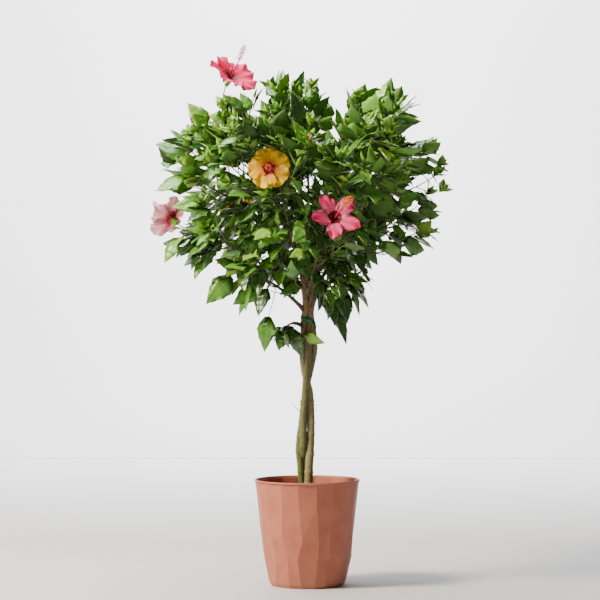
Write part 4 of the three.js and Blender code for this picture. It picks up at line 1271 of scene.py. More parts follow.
def grow_inner_twigs():
    """Short leafy twigs on the bare boughs, that fill the middle of the crown."""
    draw = draws_from(8101)
    points = np.concatenate([mass["own_points"] for mass in masses])
    radii = np.concatenate([mass["own_radii"] for mass in masses])

    def fits(curve):
        _, line = walk(curve, 0.3, 1, 6)
        if (line[:, 2] < INNER_LOWEST).any() or (np.hypot(line[:, 0], line[:, 1]) > INNER_REACH).any():
            return False
        if (distances(line, bloom_points) < bloom_radii + 4).any() or (distances(line, points) < 5).any():
            return False
        return (distances(line, limb_points) > limb_radii + 4).all() and between_leaves(line, 140)

    for mass in masses:
        curve, entry = mass["branch"]["curve"], mass["branch"]["entry"]
        anywhere = {"branch": None, "own_points": points, "own_radii": radii, "leaves": mass["leaves"]}
        mass["inner"] = []
        count = int(length_of(curve) * (entry - INNER_START) / INNER_SPACING)
        for j in range(count):
            t = mix(INNER_START, entry, (j + 0.6 * draw()) / count)
            angle, length = draw() * math.tau, mix(*INNER_LENGTH, draw())
            inner = grow_shoot(at(curve, t), heading_at(curve, t), angle, length, fits)
            if inner is not None:
                mass["inner"].append(inner)
                size = INNER_LEAF * mix(0.8, 1.1, draw())
                number = INNER_NUMBERS + len(mass["inner"])
                clothe(anywhere, number, inner, 0.3, size, FINE_LEAF_SPACING, draw)


grow_inner_twigs()
for index, mass in enumerate(masses):
    grow_fine_twigs(mass, index)


def tapered(curve, steps, foot, tip):
    """A limb along a curve, with the radii of its foot and its tip."""
    return walk(curve, 0, 1, steps)[1], [mix(foot, tip, k / steps) for k in range(steps + 1)]


twig_paths = []
for mass in masses:
    twig_paths += [tapered(curve, 18, 2.6, 1.25) for curve, _, _ in mass["twigs"][1:]]
    twig_paths += [tapered(curve, 8, 1.5, 0.9) for curve in mass["fine"] + mass["inner"]]
twig_paths += [tapered(np.array(row[:3], float), 10, 1.4, 0.8) for row in HANGING_LEAVES]
twigs = limbs_along("twigs", twig_paths, 7, twig_bark)
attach(twigs, "root")

# Leaves: pointed ovals with toothed edges, glossy deep green above, paler and matt below, with a light
# midrib. Young ones at the tips are smaller and yellow green, brightened as painted light shining through
# them. Each hangs on a thin stalk.
LEAF_SCALE = 0.97  # a leaf here against the broader one that stands for it in the solid
HALF_WIDTH = 0.36  # of a leaf one unit long
RIB_HALF_WIDTH = 0.013
BLADE_THICKNESS = 0.005
TOOTH_DEPTH = 0.075


def half_width_at(v):
    return HALF_WIDTH * math.sin(math.pi * v ** 0.7) ** 0.86 * (1 - 0.42 * v ** 2)


def leaf_shape(name, draw, rows):
    """A leaf one unit long, lying along +Y with its upper side up, folded and bent in its own way."""
    fold = mix(0.08, 0.34, draw())
    arch = mix(0.2, 0.8, draw())
    bend = mix(0.0, 0.24, draw())
    twist = mix(-0.5, 0.5, draw())
    wave = mix(0.012, 0.035, draw())
    phase = draw() * 6.28
    flat, faces, parts = [], [], []

    def add_point(x, y, under=0.0):
        flat.append((x, y, under))
        return len(flat) - 1

    spine = [0.0] + [0.04 + 0.88 * ((k / rows) ** 0.95) for k in range(1, rows + 1)]
    tip = add_point(0, 1)
    tops, bottoms, rims = {}, {}, {}
    for side in (-1, 1):
        for k, v in enumerate(spine):
            rib = RIB_HALF_WIDTH * (1 - 0.75 * v)
            mid_v, edge_v = v + 0.045, min(v + 0.1, 0.965)
            tooth = 1 + (TOOTH_DEPTH if k > 0 else 0)
            mid_x = 0.5 * half_width_at(mid_v if k else 0.02)
            edge = (side * half_width_at(edge_v if k else 0.03) * tooth, edge_v if k else 0.012)
            tops[side, k] = (add_point(side * rib, v), add_point(side * mid_x, mid_v if k else 0.004))
            bottoms[side, k] = tops[side, k] if k == 0 else (
                add_point(side * rib, v, 2.2), add_point(side * mid_x, mid_v, 1.0))
            rims[side, k] = add_point(*edge)
            if k < rows:
                between = 0.5 * (edge[1] + min(spine[k + 1] + 0.1, 0.965)) + 0.012
                rims[side, k + 0.5] = add_point(side * half_width_at(between) * 0.95, between)

    def add_face(corners, part, flip):
        faces.append(corners[::-1] if flip else corners)
        parts.append(part)

    for under, rows_of in ((False, tops), (True, bottoms)):
        blade, rib_part = (2, 2) if under else (0, 1)
        for side in (-1, 1):
            flip = (side < 0) != under
            for k in range(rows):
                (rib, mid), (rib_on, mid_on) = rows_of[side, k], rows_of[side, k + 1]
                rim, notch, rim_on = rims[side, k], rims[side, k + 0.5], rims[side, k + 1]
                add_face((rib, mid, mid_on, rib_on), blade, flip)
                add_face((mid, rim, notch, mid_on), blade, flip)
                add_face((mid_on, notch, rim_on), blade, flip)
            rib, mid = rows_of[side, rows]
            add_face((rib, mid, tip), blade, flip)
            add_face((mid, rims[side, rows], tip), blade, flip)
        for k in range(rows):
            add_face((rows_of[-1, k][0], rows_of[1, k][0], rows_of[1, k + 1][0], rows_of[-1, k + 1][0]),
                     rib_part, under)
        add_face((rows_of[-1, rows][0], rows_of[1, rows][0], tip), rib_part, under)

    def bent(x, y, under):
        ripple = math.sin(math.tau * 2.3 * y + phase + (0.9 if x > 0 else 0))
        z = fold * abs(x) - arch * x * x - bend * y * y
        z += wave * ripple * (abs(x) / HALF_WIDTH) ** 2 - under * BLADE_THICKNESS
        turn = twist * y
        return x * math.cos(turn) - z * math.sin(turn), y, x * math.sin(turn) + z * math.cos(turn)

    mesh = mesh_of(name, [bent(*p) for p in flat], faces, scale=1)
    mesh.attributes.new("part", "INT", "FACE").data.foreach_set("value", parts)
    layer = mesh.uv_layers.new(name="blade")
    for loop in mesh.loops:
        x, y, _ = flat[loop.vertex_index]
        layer.data[loop.index].uv = (0.5 + x / (2 * HALF_WIDTH), y)
    return new_object(name, mesh)


def copies_tree(parts, tints):
    """Copies shapes onto points, turned, sized and picked by each point, and deals out the finishes."""
    names = {f"Finish {k}": "Material" for k in range(parts * tints)}
    tree, given = tree_with(f"copies_in_{parts * tints}_finishes", {"Shapes": "Collection", **names})

    def named(attribute, kind):
        return add(tree, "GeometryNodeInputNamedAttribute", {"Name": attribute}, data_type=kind)

    shapes = add(tree, "GeometryNodeCollectionInfo", {
        "Collection": given["Shapes"], "Separate Children": True, "Reset Children": True})
    turned = add(tree, "FunctionNodeAxesToRotation", {
        "Primary Axis": named("along", "FLOAT_VECTOR"), "Secondary Axis": named("face", "FLOAT_VECTOR")},
        primary_axis="Y", secondary_axis="Z")
    laid = add(tree, "GeometryNodeInstanceOnPoints", {
        "Points": given["Geometry"], "Instance": shapes, "Pick Instance": True,
        "Instance Index": named("shape", "INT"), "Rotation": turned, "Scale": named("size", "FLOAT_VECTOR")})
    real = add(tree, "GeometryNodeRealizeInstances", {"Geometry": laid})
    tint_start = add(tree, "ShaderNodeMath", {0: named("tint", "INT"), 1: float(parts)}, operation="MULTIPLY")
    finish = add(tree, "ShaderNodeMath", {0: tint_start, 1: named("part", "INT")}, operation="ADD")
    last = real
    for k in range(parts * tints):
        chosen = add(tree, "FunctionNodeCompare", {"A": finish, "B": float(k), "Epsilon": 0.1},
                     data_type="FLOAT", operation="EQUAL")
        last = add(tree, "GeometryNodeSetMaterial", {
            "Geometry": last, "Selection": chosen, "Material": given[f"Finish {k}"]})
    add(tree, "NodeGroupOutput", {"Geometry": last})
    return tree


def copies_on(tree, name, shapes, finishes, places):
    """A piece of copied shapes. A place is (point in mm, along, face, sizes in mm, shape, tint)."""
    mesh = mesh_of(name + "_places", [place[0] for place in places], [])
    columns = (("along", "FLOAT_VECTOR", 1), ("face", "FLOAT_VECTOR", 2), ("size", "FLOAT_VECTOR", 3),
               ("shape", "INT", 4), ("tint", "INT", 5))
    for attribute, kind, column in columns:
        layer = mesh.attributes.new(attribute, kind, "POINT")
        values = np.array([place[column] for place in places])
        if kind == "INT":
            layer.data.foreach_set("value", values.astype(np.int32))
        else:
            scale = MM if attribute == "size" else 1
            layer.data.foreach_set("vector", (values * scale).astype(np.float32).ravel())
    given = {f"Finish_{k}": finish for k, finish in enumerate(finishes)}
    return shaped_by(tree, mesh, name, Shapes=shapes, **given)


def leaf_material(name, deep, pale, vein, shine):
    """Waxy upper side of a hibiscus leaf: glossy, quilted between its veins, with paler vein lines."""
    made, tree, surface = new_material(name, IOR=1.5, Coat_Weight=0.25, Coat_Roughness=0.2)
    uv = add(tree, "ShaderNodeUVMap", uv_map="blade")
    across, along = add(tree, "ShaderNodeSeparateXYZ", {"Vector": uv}).outputs[:2]
    centred = add(tree, "ShaderNodeMath", {0: across, 1: 0.5}, operation="SUBTRACT")
    away = add(tree, "ShaderNodeMath", {0: centred}, operation="ABSOLUTE")
    slant = add(tree, "ShaderNodeMath", {0: away, 1: 1.7}, operation="MULTIPLY")
    spread = add(tree, "ShaderNodeMath", {0: along, 1: 6.5}, operation="MULTIPLY")
    chevron = add(tree, "ShaderNodeMath", {0: spread, 1: slant}, operation="SUBTRACT")
    wave = add(tree, "ShaderNodeMath", {0: chevron, 1: 1.0}, operation="PINGPONG")
    line = add(tree, "ShaderNodeMapRange", {"Value": wave, "From Min": 0.16, "From Max": 0.02})
    place = add(tree, "ShaderNodeTexCoord").outputs["Object"]
    tone, blotches = patchy_tone(tree, place, (deep, pale), 33.3, spread=(0.35, 0.65))
    faint = add(tree, "ShaderNodeMath", {0: line, 1: 0.45}, operation="MULTIPLY")
    veined = add(tree, "ShaderNodeMix", {"Factor": faint, "A": tone, "B": vein}, data_type="RGBA")
    quilt = add(tree, "ShaderNodeMath", {0: wave, 1: 0.5}, operation="POWER")
    dress(tree, surface, veined, (quilt, 0.55, 0.0018), (blotches, shine - 0.06, shine + 0.1))
    return made


def soft_skin(name, tones, roughness, size):
    """A soft part of the plant: a smooth matt skin that varies a little in patches of a size in mm."""
    return mottled_finish(name, tones, size, spread=(0.35, 0.65), relief=(0.2, 0.0006), Roughness=roughness,
                          IOR=1.42)


# The fresh and lime tints, worn by young leaves and some sprays, are partly the leaves' own paler green and
# partly painted light: brighter, for light shining through thin leaves.
LEAF_TINTS = (  # deep, pale and vein colour and roughness of the upper side, tones of the underside and rib
    ("deep", "2a4a16", "3a5e1c", "50702c", 0.24, ("3a5626", "4c6a2c"), ("44682a", "547632")),
    ("mid", "406e24", "528424", "6a9436", 0.26, ("486e2c", "5a8232"), ("5f8a34", "6f9840")),
    ("fresh", "528a2a", "649c2e", "88b444", 0.32, ("5e8e34", "6e9e3c"), ("80b040", "92bf50")),
    ("lime", "70a02a", "84b232", "a2c650", 0.38, ("7ea436", "8eb242"), ("a0c850", "b0d460")),
)
leaf_finishes = []
for tint, deep, pale, vein, shine, underside, rib in LEAF_TINTS:
    leaf_finishes += [
        leaf_material("waxy_leaf_" + tint, deep, pale, vein, shine),
        soft_skin("leaf_rib_" + tint, rib, 0.5, 5),
        soft_skin("leaf_underside_" + tint, underside, 0.62, 16.7),
    ]

LARGE_SHAPES = 7
SMALL_SHAPES = 4
TUFT_CHANCE = 0.75  # of a twig in the upper crown
TUFT_REACH = (8, 26)  # how far past the twig's last leaves its tuft stands
TUFT_LEAVES = (18, 46)  # millimetres long
DEEP_SPRAYS = 0.4  # share of the sprays at the middle height that are deep green
MID_SPRAYS = 0.84  # share of those that are deep or mid green
RIGHT_EDGE = 352  # no leaf reaches further to the right
SMALL_LEAF = 52  # millimetres: a leaf shorter than this has the simpler outline
draw = draws_from(301)
leaf_objects = [leaf_shape(f"leaf_large_{k}", draw, 4) for k in range(LARGE_SHAPES)]
leaf_objects += [leaf_shape(f"leaf_small_{k}", draw, 3) for k in range(SMALL_SHAPES)]
leaf_shapes = shape_collection("leaf_shapes", leaf_objects)
leaf_tree = copies_tree(3, len(LEAF_TINTS))


def tint_of(leaf, spray_tint, draw):
    """Leaves share the tint of their spray. The young ones at its tip are paler, more often the higher they
    stand: their own yellow green, and painted sunlight on the top of the crown.
    """
    height = (leaf["base"][2] - 700) / 500
    fresher_and_sunlit = leaf["young"] * (1 if draw() < 0.35 + 0.55 * height else 0)
    return min(3, spray_tint + fresher_and_sunlit + (1 if leaf["young"] and draw() < 0.12 else 0))


draw = draws_from(909)
leaf_places = {mass["branch"]["name"]: [] for mass in masses}
stalk_paths = []


def leaf_face(d, *terms):
    """The way a blade faces: a blend of directions, square to the blade."""
    face = blend(*terms)
    return blend((face, 1), (d, -(face @ d)))


def young_tuft(curve, places):
    """The unfolding leaves at the growing tip of a twig: small, narrow and bright, the brightness partly
    painted light, for light shining through them.
    """
    axis = blend((heading_at(curve, 1), 1), (UP, 0.4))
    tip = at(curve, 1)
    node = tip + axis * mix(*TUFT_REACH, draw())
    stalk_paths.append(([tip - heading_at(curve, 1) * 2, tip + axis * 2, node], [1.3, 1.2, 1.0]))
    start = draw() * 6.28
    count = 5 + int(4 * draw())
    for k in range(count):
        away = round_axis(axis, start + k * GOLDEN)
        open_by = mix(0.35, 1.1, k / count)
        d = blend((axis, math.cos(open_by)), (away, math.sin(open_by)), (UP, 0.25))
        n = leaf_face(d, (axis, 1), (away, -0.6), (UP, 0.3))
        size = mix(*TUFT_LEAVES, ((k + 1) / count) * mix(0.7, 1, draw()))
        shape = LARGE_SHAPES + int(draw() * SMALL_SHAPES)
        tint = 3 if draw() < 0.65 else 2
        places.append((node - axis * 1.5 * k, d, n, (0.72 * size, size, size), shape, tint))


for mass in masses:
    sprays, places = {}, leaf_places[mass["branch"]["name"]]
    for leaf in mass["leaves"]:
        if leaf["base"][0] + leaf["d"][0] * leaf["length"] > RIGHT_EDGE:
            continue
        if leaf["twig"] not in sprays:
            # Sprays higher in the crown are more often paler green: painted sunlight on the top of the crown.
            sunlit_chance = draw() + 0.24 * (leaf["base"][2] - 900) / 300
            sprays[leaf["twig"]] = 0 if sunlit_chance < DEEP_SPRAYS else 1 if sunlit_chance < MID_SPRAYS else 2
        size = leaf["length"] * LEAF_SCALE
        if leaf["length"] >= SMALL_LEAF:
            shape = int(draw() * LARGE_SHAPES)
        else:
            shape = LARGE_SHAPES + int(draw() * SMALL_SHAPES)
        width = size * mix(0.86, 1.08, draw())
        tint = tint_of(leaf, sprays[leaf["twig"]], draw)
        places.append((leaf["base"], leaf["d"], leaf["n"], (width, size, size), shape, tint))
        thin = mix(0.55, 0.95, min(1, leaf["length"] / 100))
        start, base = leaf["node"], leaf["base"]
        reach = math.sqrt((base - start) @ (base - start))
        stalk = np.array((start, base - leaf["d"] * 0.45 * reach, base + leaf["d"] * 1.5))
        stalk_paths.append((walk(stalk, 0, 1, 5)[1], [thin * w for w in (1.5, 1.05, 0.95, 0.95, 1.0, 0.9)]))

for mass in masses:
    for curve in [twig[0] for twig in mass["twigs"]] + mass["fine"]:
        if draw() < TUFT_CHANCE * min(1, max(0.15, (curve[2][2] - 800) / 200)):
            young_tuft(curve, leaf_places[mass["branch"]["name"]])

for _, _, base, tip, wide, tint in HANGING_LEAVES:
    along = np.subtract(tip, base).astype(float)
    length = math.sqrt(along @ along)
    d = along / length
    n = leaf_face(d, (crown_out(base), 1), (np.array((0.0, -1.0, 0.5)), 0.7))
    leaf_places["low_left"].append(
        (np.array(base, float), d, n, (wide * length, length, length), int(draw() * LARGE_SHAPES), tint))

LEAF_PIECES = (  # piece, and the masses whose leaves it holds
    ("leaves_top", ("top", "left_top", "right_top", "back_top", "front_left", "front_right")),
    ("leaves_sides", ("left_upper", "right_upper", "left_side", "right_side", "back_left", "back_right")),
    ("leaves_low", ("front_low", "back_low", "low_left", "low_right", "trunk_spur")),
)
for name, members in LEAF_PIECES:
    places = [place for member in members for place in leaf_places[member]]
    piece = copies_on(leaf_tree, name, leaf_shapes, leaf_finishes, places)
    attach(piece, "root")
    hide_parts(*("foliage_" + member for member in members))
clear_collection(leaf_shapes)
leaf_stalk = soft_skin("leaf_stalk_skin", ("66802f", "8a9c45"), 0.5, 8.33)
stalks = limbs_along("leaf_stalks", stalk_paths, 5, leaf_stalk)
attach(stalks, "root")

# Buds: a pointed green cup of five joined lobes, ringed below by narrow spreading bracts, on a thin stalk at
# the tip of a twig. Some show a little petal. A spent bloom hangs on for a day, rolled up and twisted.
BUD_STALK = 16.0
BUD_STALK_LONGER = 2.4  # the longest stalk against the shortest
BUD_LENGTH = 30.0
BUDS_ON = (
    "top", "left_top", "right_top", "left_upper", "right_upper", "back_top", "front_left", "front_right",
    "back_right", "right_side",
)
BRACTS = 7
SMALL_BUD_CHANCE = 0.4  # of a fine twig in the upper crown
SMALL_BUDS_ABOVE = 930.0
SPENT_BLOOMS = (  # place on the front of the crown as x and z, tint, length
    (18, 1105, 1, 36),
    (155, 1105, 2, 32),
    (117, 1068, 1, 32),
)


def add_ring(points, rings, ring):
    rings.append(range(len(points), len(points) + len(ring)))
    points.extend(ring)


def close_rings(points, rings, tip, root):
    """Adds the two end points to rings of equal count. Returns the faces that join them all."""
    points.extend((tip, root))
    last, count = len(points) - 1, len(rings[0])
    faces = []
    for k in range(count):
        after = (k + 1) % count
        faces += [(low[k], low[after], high[after], high[k]) for low, high in zip(rings, rings[1:])]
        faces += [(rings[-1][k], rings[-1][after], last - 1), (rings[0][after], rings[0][k], last)]
    return faces


def faces_out(mesh):
    """Turns the faces of closed shapes outwards."""
    work = bmesh.new()
    work.from_mesh(mesh)
    bmesh.ops.recalc_face_normals(work, faces=work.faces)
    work.to_mesh(mesh)
    work.free()
    return mesh


def with_parts(name, points, faces, parts):
    """A shape one unit long, whose faces say which part of it they are."""
    mesh = mesh_of(name, points, faces, scale=1)
    mesh.attributes.new("part", "INT", "FACE").data.foreach_set("value", parts)
    return new_object(name, faces_out(mesh))


def add_bracts(points, count, seat, up, reach, spread, width, draw):
    """Adds a ring of narrow three-sided bracts that curve outwards. Returns their faces."""
    faces = []
    for k in range(count):
        away = round_axis(up, math.tau * (k + 0.3 * draw()) / count)
        across = np.cross(up, away)
        length = reach * mix(0.75, 1.1, draw())
        open_by = spread * mix(0.7, 1.25, draw())
        rising = blend((up, math.cos(0.55 * open_by)), (away, math.sin(0.55 * open_by)))
        leaning = blend((up, math.cos(open_by)), (away, math.sin(open_by)))
        root = seat + away * 0.5 * width
        knee = root + rising * 0.45 * length
        rings = []
        for p, half in ((root + rising * 0.12 * length, width), (knee, 1.2 * width)):
            under = np.cross(across, rising) * 0.5 * half
            add_ring(points, rings, [p - across * half, p + across * half, p + under])
        faces += close_rings(points, rings, knee + leaning * 0.55 * length, root)
    return faces


def bud_shape(name, draw, profile, bract_reach, spread, shown, twist):
    """A bud one unit long along +Y, with its bracts. Its rings from number shown on are petal."""
    points, rings, sides = [], [], 10
    for level, radius in profile:
        ring = []
        for k in range(sides):
            turn = math.tau * k / sides + twist * level
            folded = radius * (1 + (0.11 if k % 2 == 0 else -0.09) * min(1, level * 3))
            ring.append(np.array((folded * math.sin(turn), level, folded * math.cos(turn))))
        add_ring(points, rings, ring)
    faces = close_rings(points, rings, np.array((0.02 * twist, 1.0, 0.0)), np.zeros(3))
    parts = [2 if min(face) >= rings[shown][0] else 0 for face in faces] if shown else [0] * len(faces)
    parts = [0 if len(points) - 1 in face else part for face, part in zip(faces, parts)]
    count = len(faces)
    up = np.array((0.0, 1.0, 0.0))
    faces += add_bracts(points, BRACTS, up * 0.03, up, bract_reach, spread, 0.032, draw)
    return with_parts(name, points, faces, parts + [1] * (len(faces) - count))


GREEN_BUD = ((0.03, 0.07), (0.14, 0.14), (0.3, 0.185), (0.46, 0.19), (0.62, 0.16), (0.78, 0.1), (0.92, 0.04))
SLIM_BUD = ((0.03, 0.06), (0.12, 0.1), (0.25, 0.13), (0.42, 0.13), (0.6, 0.1), (0.76, 0.085), (0.92, 0.05))
ROLLED = ((0.03, 0.05), (0.12, 0.09), (0.26, 0.105), (0.34, 0.085), (0.5, 0.1), (0.68, 0.115), (0.86, 0.09))
draw = draws_from(611)
bud_shapes = shape_collection("bud_shapes", [
    bud_shape("bud_0_plump", draw, GREEN_BUD, 0.62, 0.8, 0, 0.3),
    bud_shape("bud_1_open_bracts", draw, GREEN_BUD, 0.85, 1.0, 0, 0.3),
    bud_shape("bud_2_petal_showing", draw, SLIM_BUD, 0.42, 0.9, 4, 0.9),
    bud_shape("bud_3_spent", draw, ROLLED, 0.3, 1.1, 3, 2.6),
])


def petal_skin(name, inner, outer, edge):
    """Silky petal: matt with a soft sheen, finely veined from the throat out, deeper or paler at its edge."""
    made, tree, surface = new_material(
        name, Roughness=0.55, IOR=1.4, Specular_IOR_Level=0.35, Subsurface_Weight=0.5,
        Subsurface_Scale=0.003, Subsurface_Radius=(1.0, 0.8, 0.7))
    uv = add(tree, "ShaderNodeUVMap", uv_map="petal")
    across, along = add(tree, "ShaderNodeSeparateXYZ", {"Vector": uv}).outputs[:2]
    outwards = add(tree, "ShaderNodeMapRange", {"Value": along, "From Min": 0.45, "From Max": 0.8})
    body = add(tree, "ShaderNodeMix", {"Factor": outwards, "A": inner, "B": outer},
               data_type="RGBA")
    centred = add(tree, "ShaderNodeMath", {0: across, 1: 0.5}, operation="SUBTRACT")
    away = add(tree, "ShaderNodeMath", {0: centred}, operation="ABSOLUTE")
    side = add(tree, "ShaderNodeMapRange", {"Value": away, "From Min": 0.3, "From Max": 0.5})
    end = add(tree, "ShaderNodeMapRange", {"Value": along, "From Min": 0.8, "From Max": 1.0})
    rim = add(tree, "ShaderNodeMath", {0: side, 1: end}, operation="MAXIMUM")
    rimmed = add(tree, "ShaderNodeMix", {"Factor": rim, "A": body, "B": edge}, data_type="RGBA")
    fan = add(tree, "ShaderNodeMath", {0: across, 1: 26.0}, operation="MULTIPLY")
    branching = add(tree, "ShaderNodeTexNoise", {"Vector": uv, "Scale": 7.0, "Detail": 2.0})
    bent = add(tree, "ShaderNodeMath", {0: fan, 1: branching}, operation="ADD")
    wave = add(tree, "ShaderNodeMath", {0: bent, 1: 1.0}, operation="PINGPONG")
    vein = add(tree, "ShaderNodeMapRange", {"Value": wave, "From Min": 0.3, "From Max": 0.0, "To Max": 0.3})
    veined = add(tree, "ShaderNodeMix", {"Factor": vein, "A": rimmed, "B": inner}, data_type="RGBA")
    dress(tree, surface, veined, (wave, 0.35, 0.0008))
    return made


ROLLED_PETALS = (
    ("rolled_petal_pink", ("b8365a", "d96a85")),
    ("rolled_petal_faded", ("8d4a4c", "b97c78")),
    ("rolled_petal_pale", ("d3a3a0", "e8c8c2")),
)
calyx_skin = soft_skin("calyx_skin", ("5c8a14", "7aa61e"), 0.45, 6.67)
bract_skin = soft_skin("bract_skin", ("629018", "80ac24"), 0.45, 6.67)
bud_finishes = []
for name, tones in ROLLED_PETALS:
    bud_finishes += [calyx_skin, bract_skin, soft_skin(name, tones, 0.6, 8.33)]

bud_places, bud_stalks = [], []


def hang_bud(node, d, stalk, length, shape, tint):
    """Places a bud at the end of its own stalk, the stalk bending a little towards it."""
    seat = node + d * stalk
    bud_places.append((seat, d, round_axis(d, 0), (length,) * 3, shape, tint))
    bend = mix(node, seat, 0.5) + UP * 0.06 * stalk
    line = walk(np.array((node, bend, seat + d * 1.5)), 0, 1, 6)[1]
    bud_stalks.append((line, [1.0, 0.8, 0.75, 0.75, 0.8, 0.95, 1.3]))


draw = draws_from(733)
for mass in masses:
    branch = mass["branch"]
    for curve, _, _ in mass["twigs"] if branch["name"] in BUDS_ON else ():
        node, axis = at(curve, 0.99), heading_at(curve, 1)
        away = round_axis(axis, mass["draw"]() * math.tau)
        if in_cell(branch, node + axis * (BUD_STALK + BUD_LENGTH), 8):
            kind = int(draw() * 2.4)
            d = blend((axis, 1), (away, 0.45), (UP, 0.5))
            stalk = BUD_STALK * mix(1, BUD_STALK_LONGER, draw())
            hang_bud(node, d, stalk, mix(24, BUD_LENGTH, draw()), kind, 0)
    for curve in mass["fine"]:
        if curve[2][2] > SMALL_BUDS_ABOVE and draw() < SMALL_BUD_CHANCE:
            axis = heading_at(curve, 1)
            d = blend((axis, 1), (round_axis(axis, draw() * math.tau), 0.4), (UP, 0.3))
            hang_bud(at(curve, 0.99), d, mix(6, 14, draw()), mix(13, 20, draw()), 1, 0)
front_tips = [curve for mass in masses for curve in [twig[0] for twig in mass["twigs"]] + mass["fine"]
              if curve[2][1] < 0]
for x, z, tint, length in SPENT_BLOOMS:
    near = min(front_tips, key=lambda curve: (
        math.hypot(curve[2][0] - x, curve[2][2] - z) + 0.15 * curve[2][1]))
    d = blend((heading_at(near, 1), 1), (crown_out(near[2]), 0.8), (UP, -0.3))
    hang_bud(at(near, 0.97), d, 14, length, 3, tint)

buds = copies_on(copies_tree(3, len(ROLLED_PETALS)), "buds", bud_shapes, bud_finishes, bud_places)
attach(buds, "root")
clear_collection(bud_shapes)

# Blooms: five broad silky petals that overlap round a funnel throat with a dark eye, and a long column with
# the anthers round it and five pads at its end. Each sits in a green cup with bracts, on its own stalk.
PETALS = 5
PETAL_ROWS = 26
PETAL_COLUMNS = 14
PETAL_THICKNESS = 0.5
PETAL_OVERLAP = 2.2  # how far one edge of a petal lies over the next
THROAT_SHARE = 0.38  # share of a petal's length that lies in the funnel
THROAT_RADIUS = 2.5
EYE_SHARE = 0.41
HALO_SHARE = 0.5
CALYX_LENGTH = 28.0
CALYX_RINGS = ((0.02, 3.0), (0.3, 6.0), (0.62, 8.0), (0.85, 9.2), (0.6, 7.2), (0.3, 5.0))  # up, over, and in
CALYX_SIDES = 10
COLUMN_REACH = 0.64  # in diameters
STAMENS = 64
PADS = 5
PAD_LENGTH = 8.5
YELLOWS = (("e29200", "eeac00", "f2b608"), "da7200", "72080a", ("8e1a0c", "b8400c", "a41c0c"))
BLOOM_LOOKS = {
    # Tint; half width and ruffle of a petal in mm, sharpness of its tip, how far it opens; turn of the whole;
    # lean of the column to the right and up; curl of each petal. Then the colours: petals from the throat to
    # the edge, halo, eye, and the column, its anthers and its pads.
    "left_top": ("crimson", 33, 5.2, 0.6, 1.2, 0.4, (0.0, 0.25), (0.2, 0.5, 0.3, 0.6, 0.2),
                 ("e8084a", "fa225e", "ee1452"), "c00a3c", "86062a", ("b0183a", "e07410", "c22c18")),
    "front_left": ("yellow", 31.5, 5.4, 0.5, 1.46, 0.06, (0.1, -0.28), (0.15, 0.2, 0.1, 0.25, 0.15),
                   *YELLOWS),
    "front_low": ("hot_pink", 20, 3.6, 0.85, 1.2, -0.14, (0.35, 0.3), (0.1, 1.3, 0.5, 0.15, 0.1),
                  ("ff6a98", "ee2064", "cc044a"), "f45a86", "70021a", ("c21e46", "f2a11c", "e8642e")),
    "left_side": ("blush", 30, 4.2, 0.55, 1.15, 0.4, (0.0, 0.1), (0.2, 0.4, 0.3, 0.5, 0.3),
                  ("ff7c98", "ffa4b6", "ffb6c4"), "f05a80", "b01840", ("e58a90", "f28c28", "ea6a35")),
    "back_right": ("pink", 28, 3.4, 0.6, 1.2, 0.4, (0.0, 0.2), (0.3, 0.2, 0.4, 0.2, 0.3),
                   ("dd2a5c", "e4416e", "d92f60"), "ee7c98", "6e061c", ("c93a4e", "ea8a24", "d9452e")),
    "back_left": ("yellow_back", 31, 3.2, 0.55, 1.2, 0.4, (0.0, 0.1), (0.2, 0.3, 0.1, 0.3, 0.2), *YELLOWS),
}


def smooth_share(values, low, high):
    share = np.clip((values - low) / (high - low), 0, 1)
    return share * share * (3 - 2 * share)


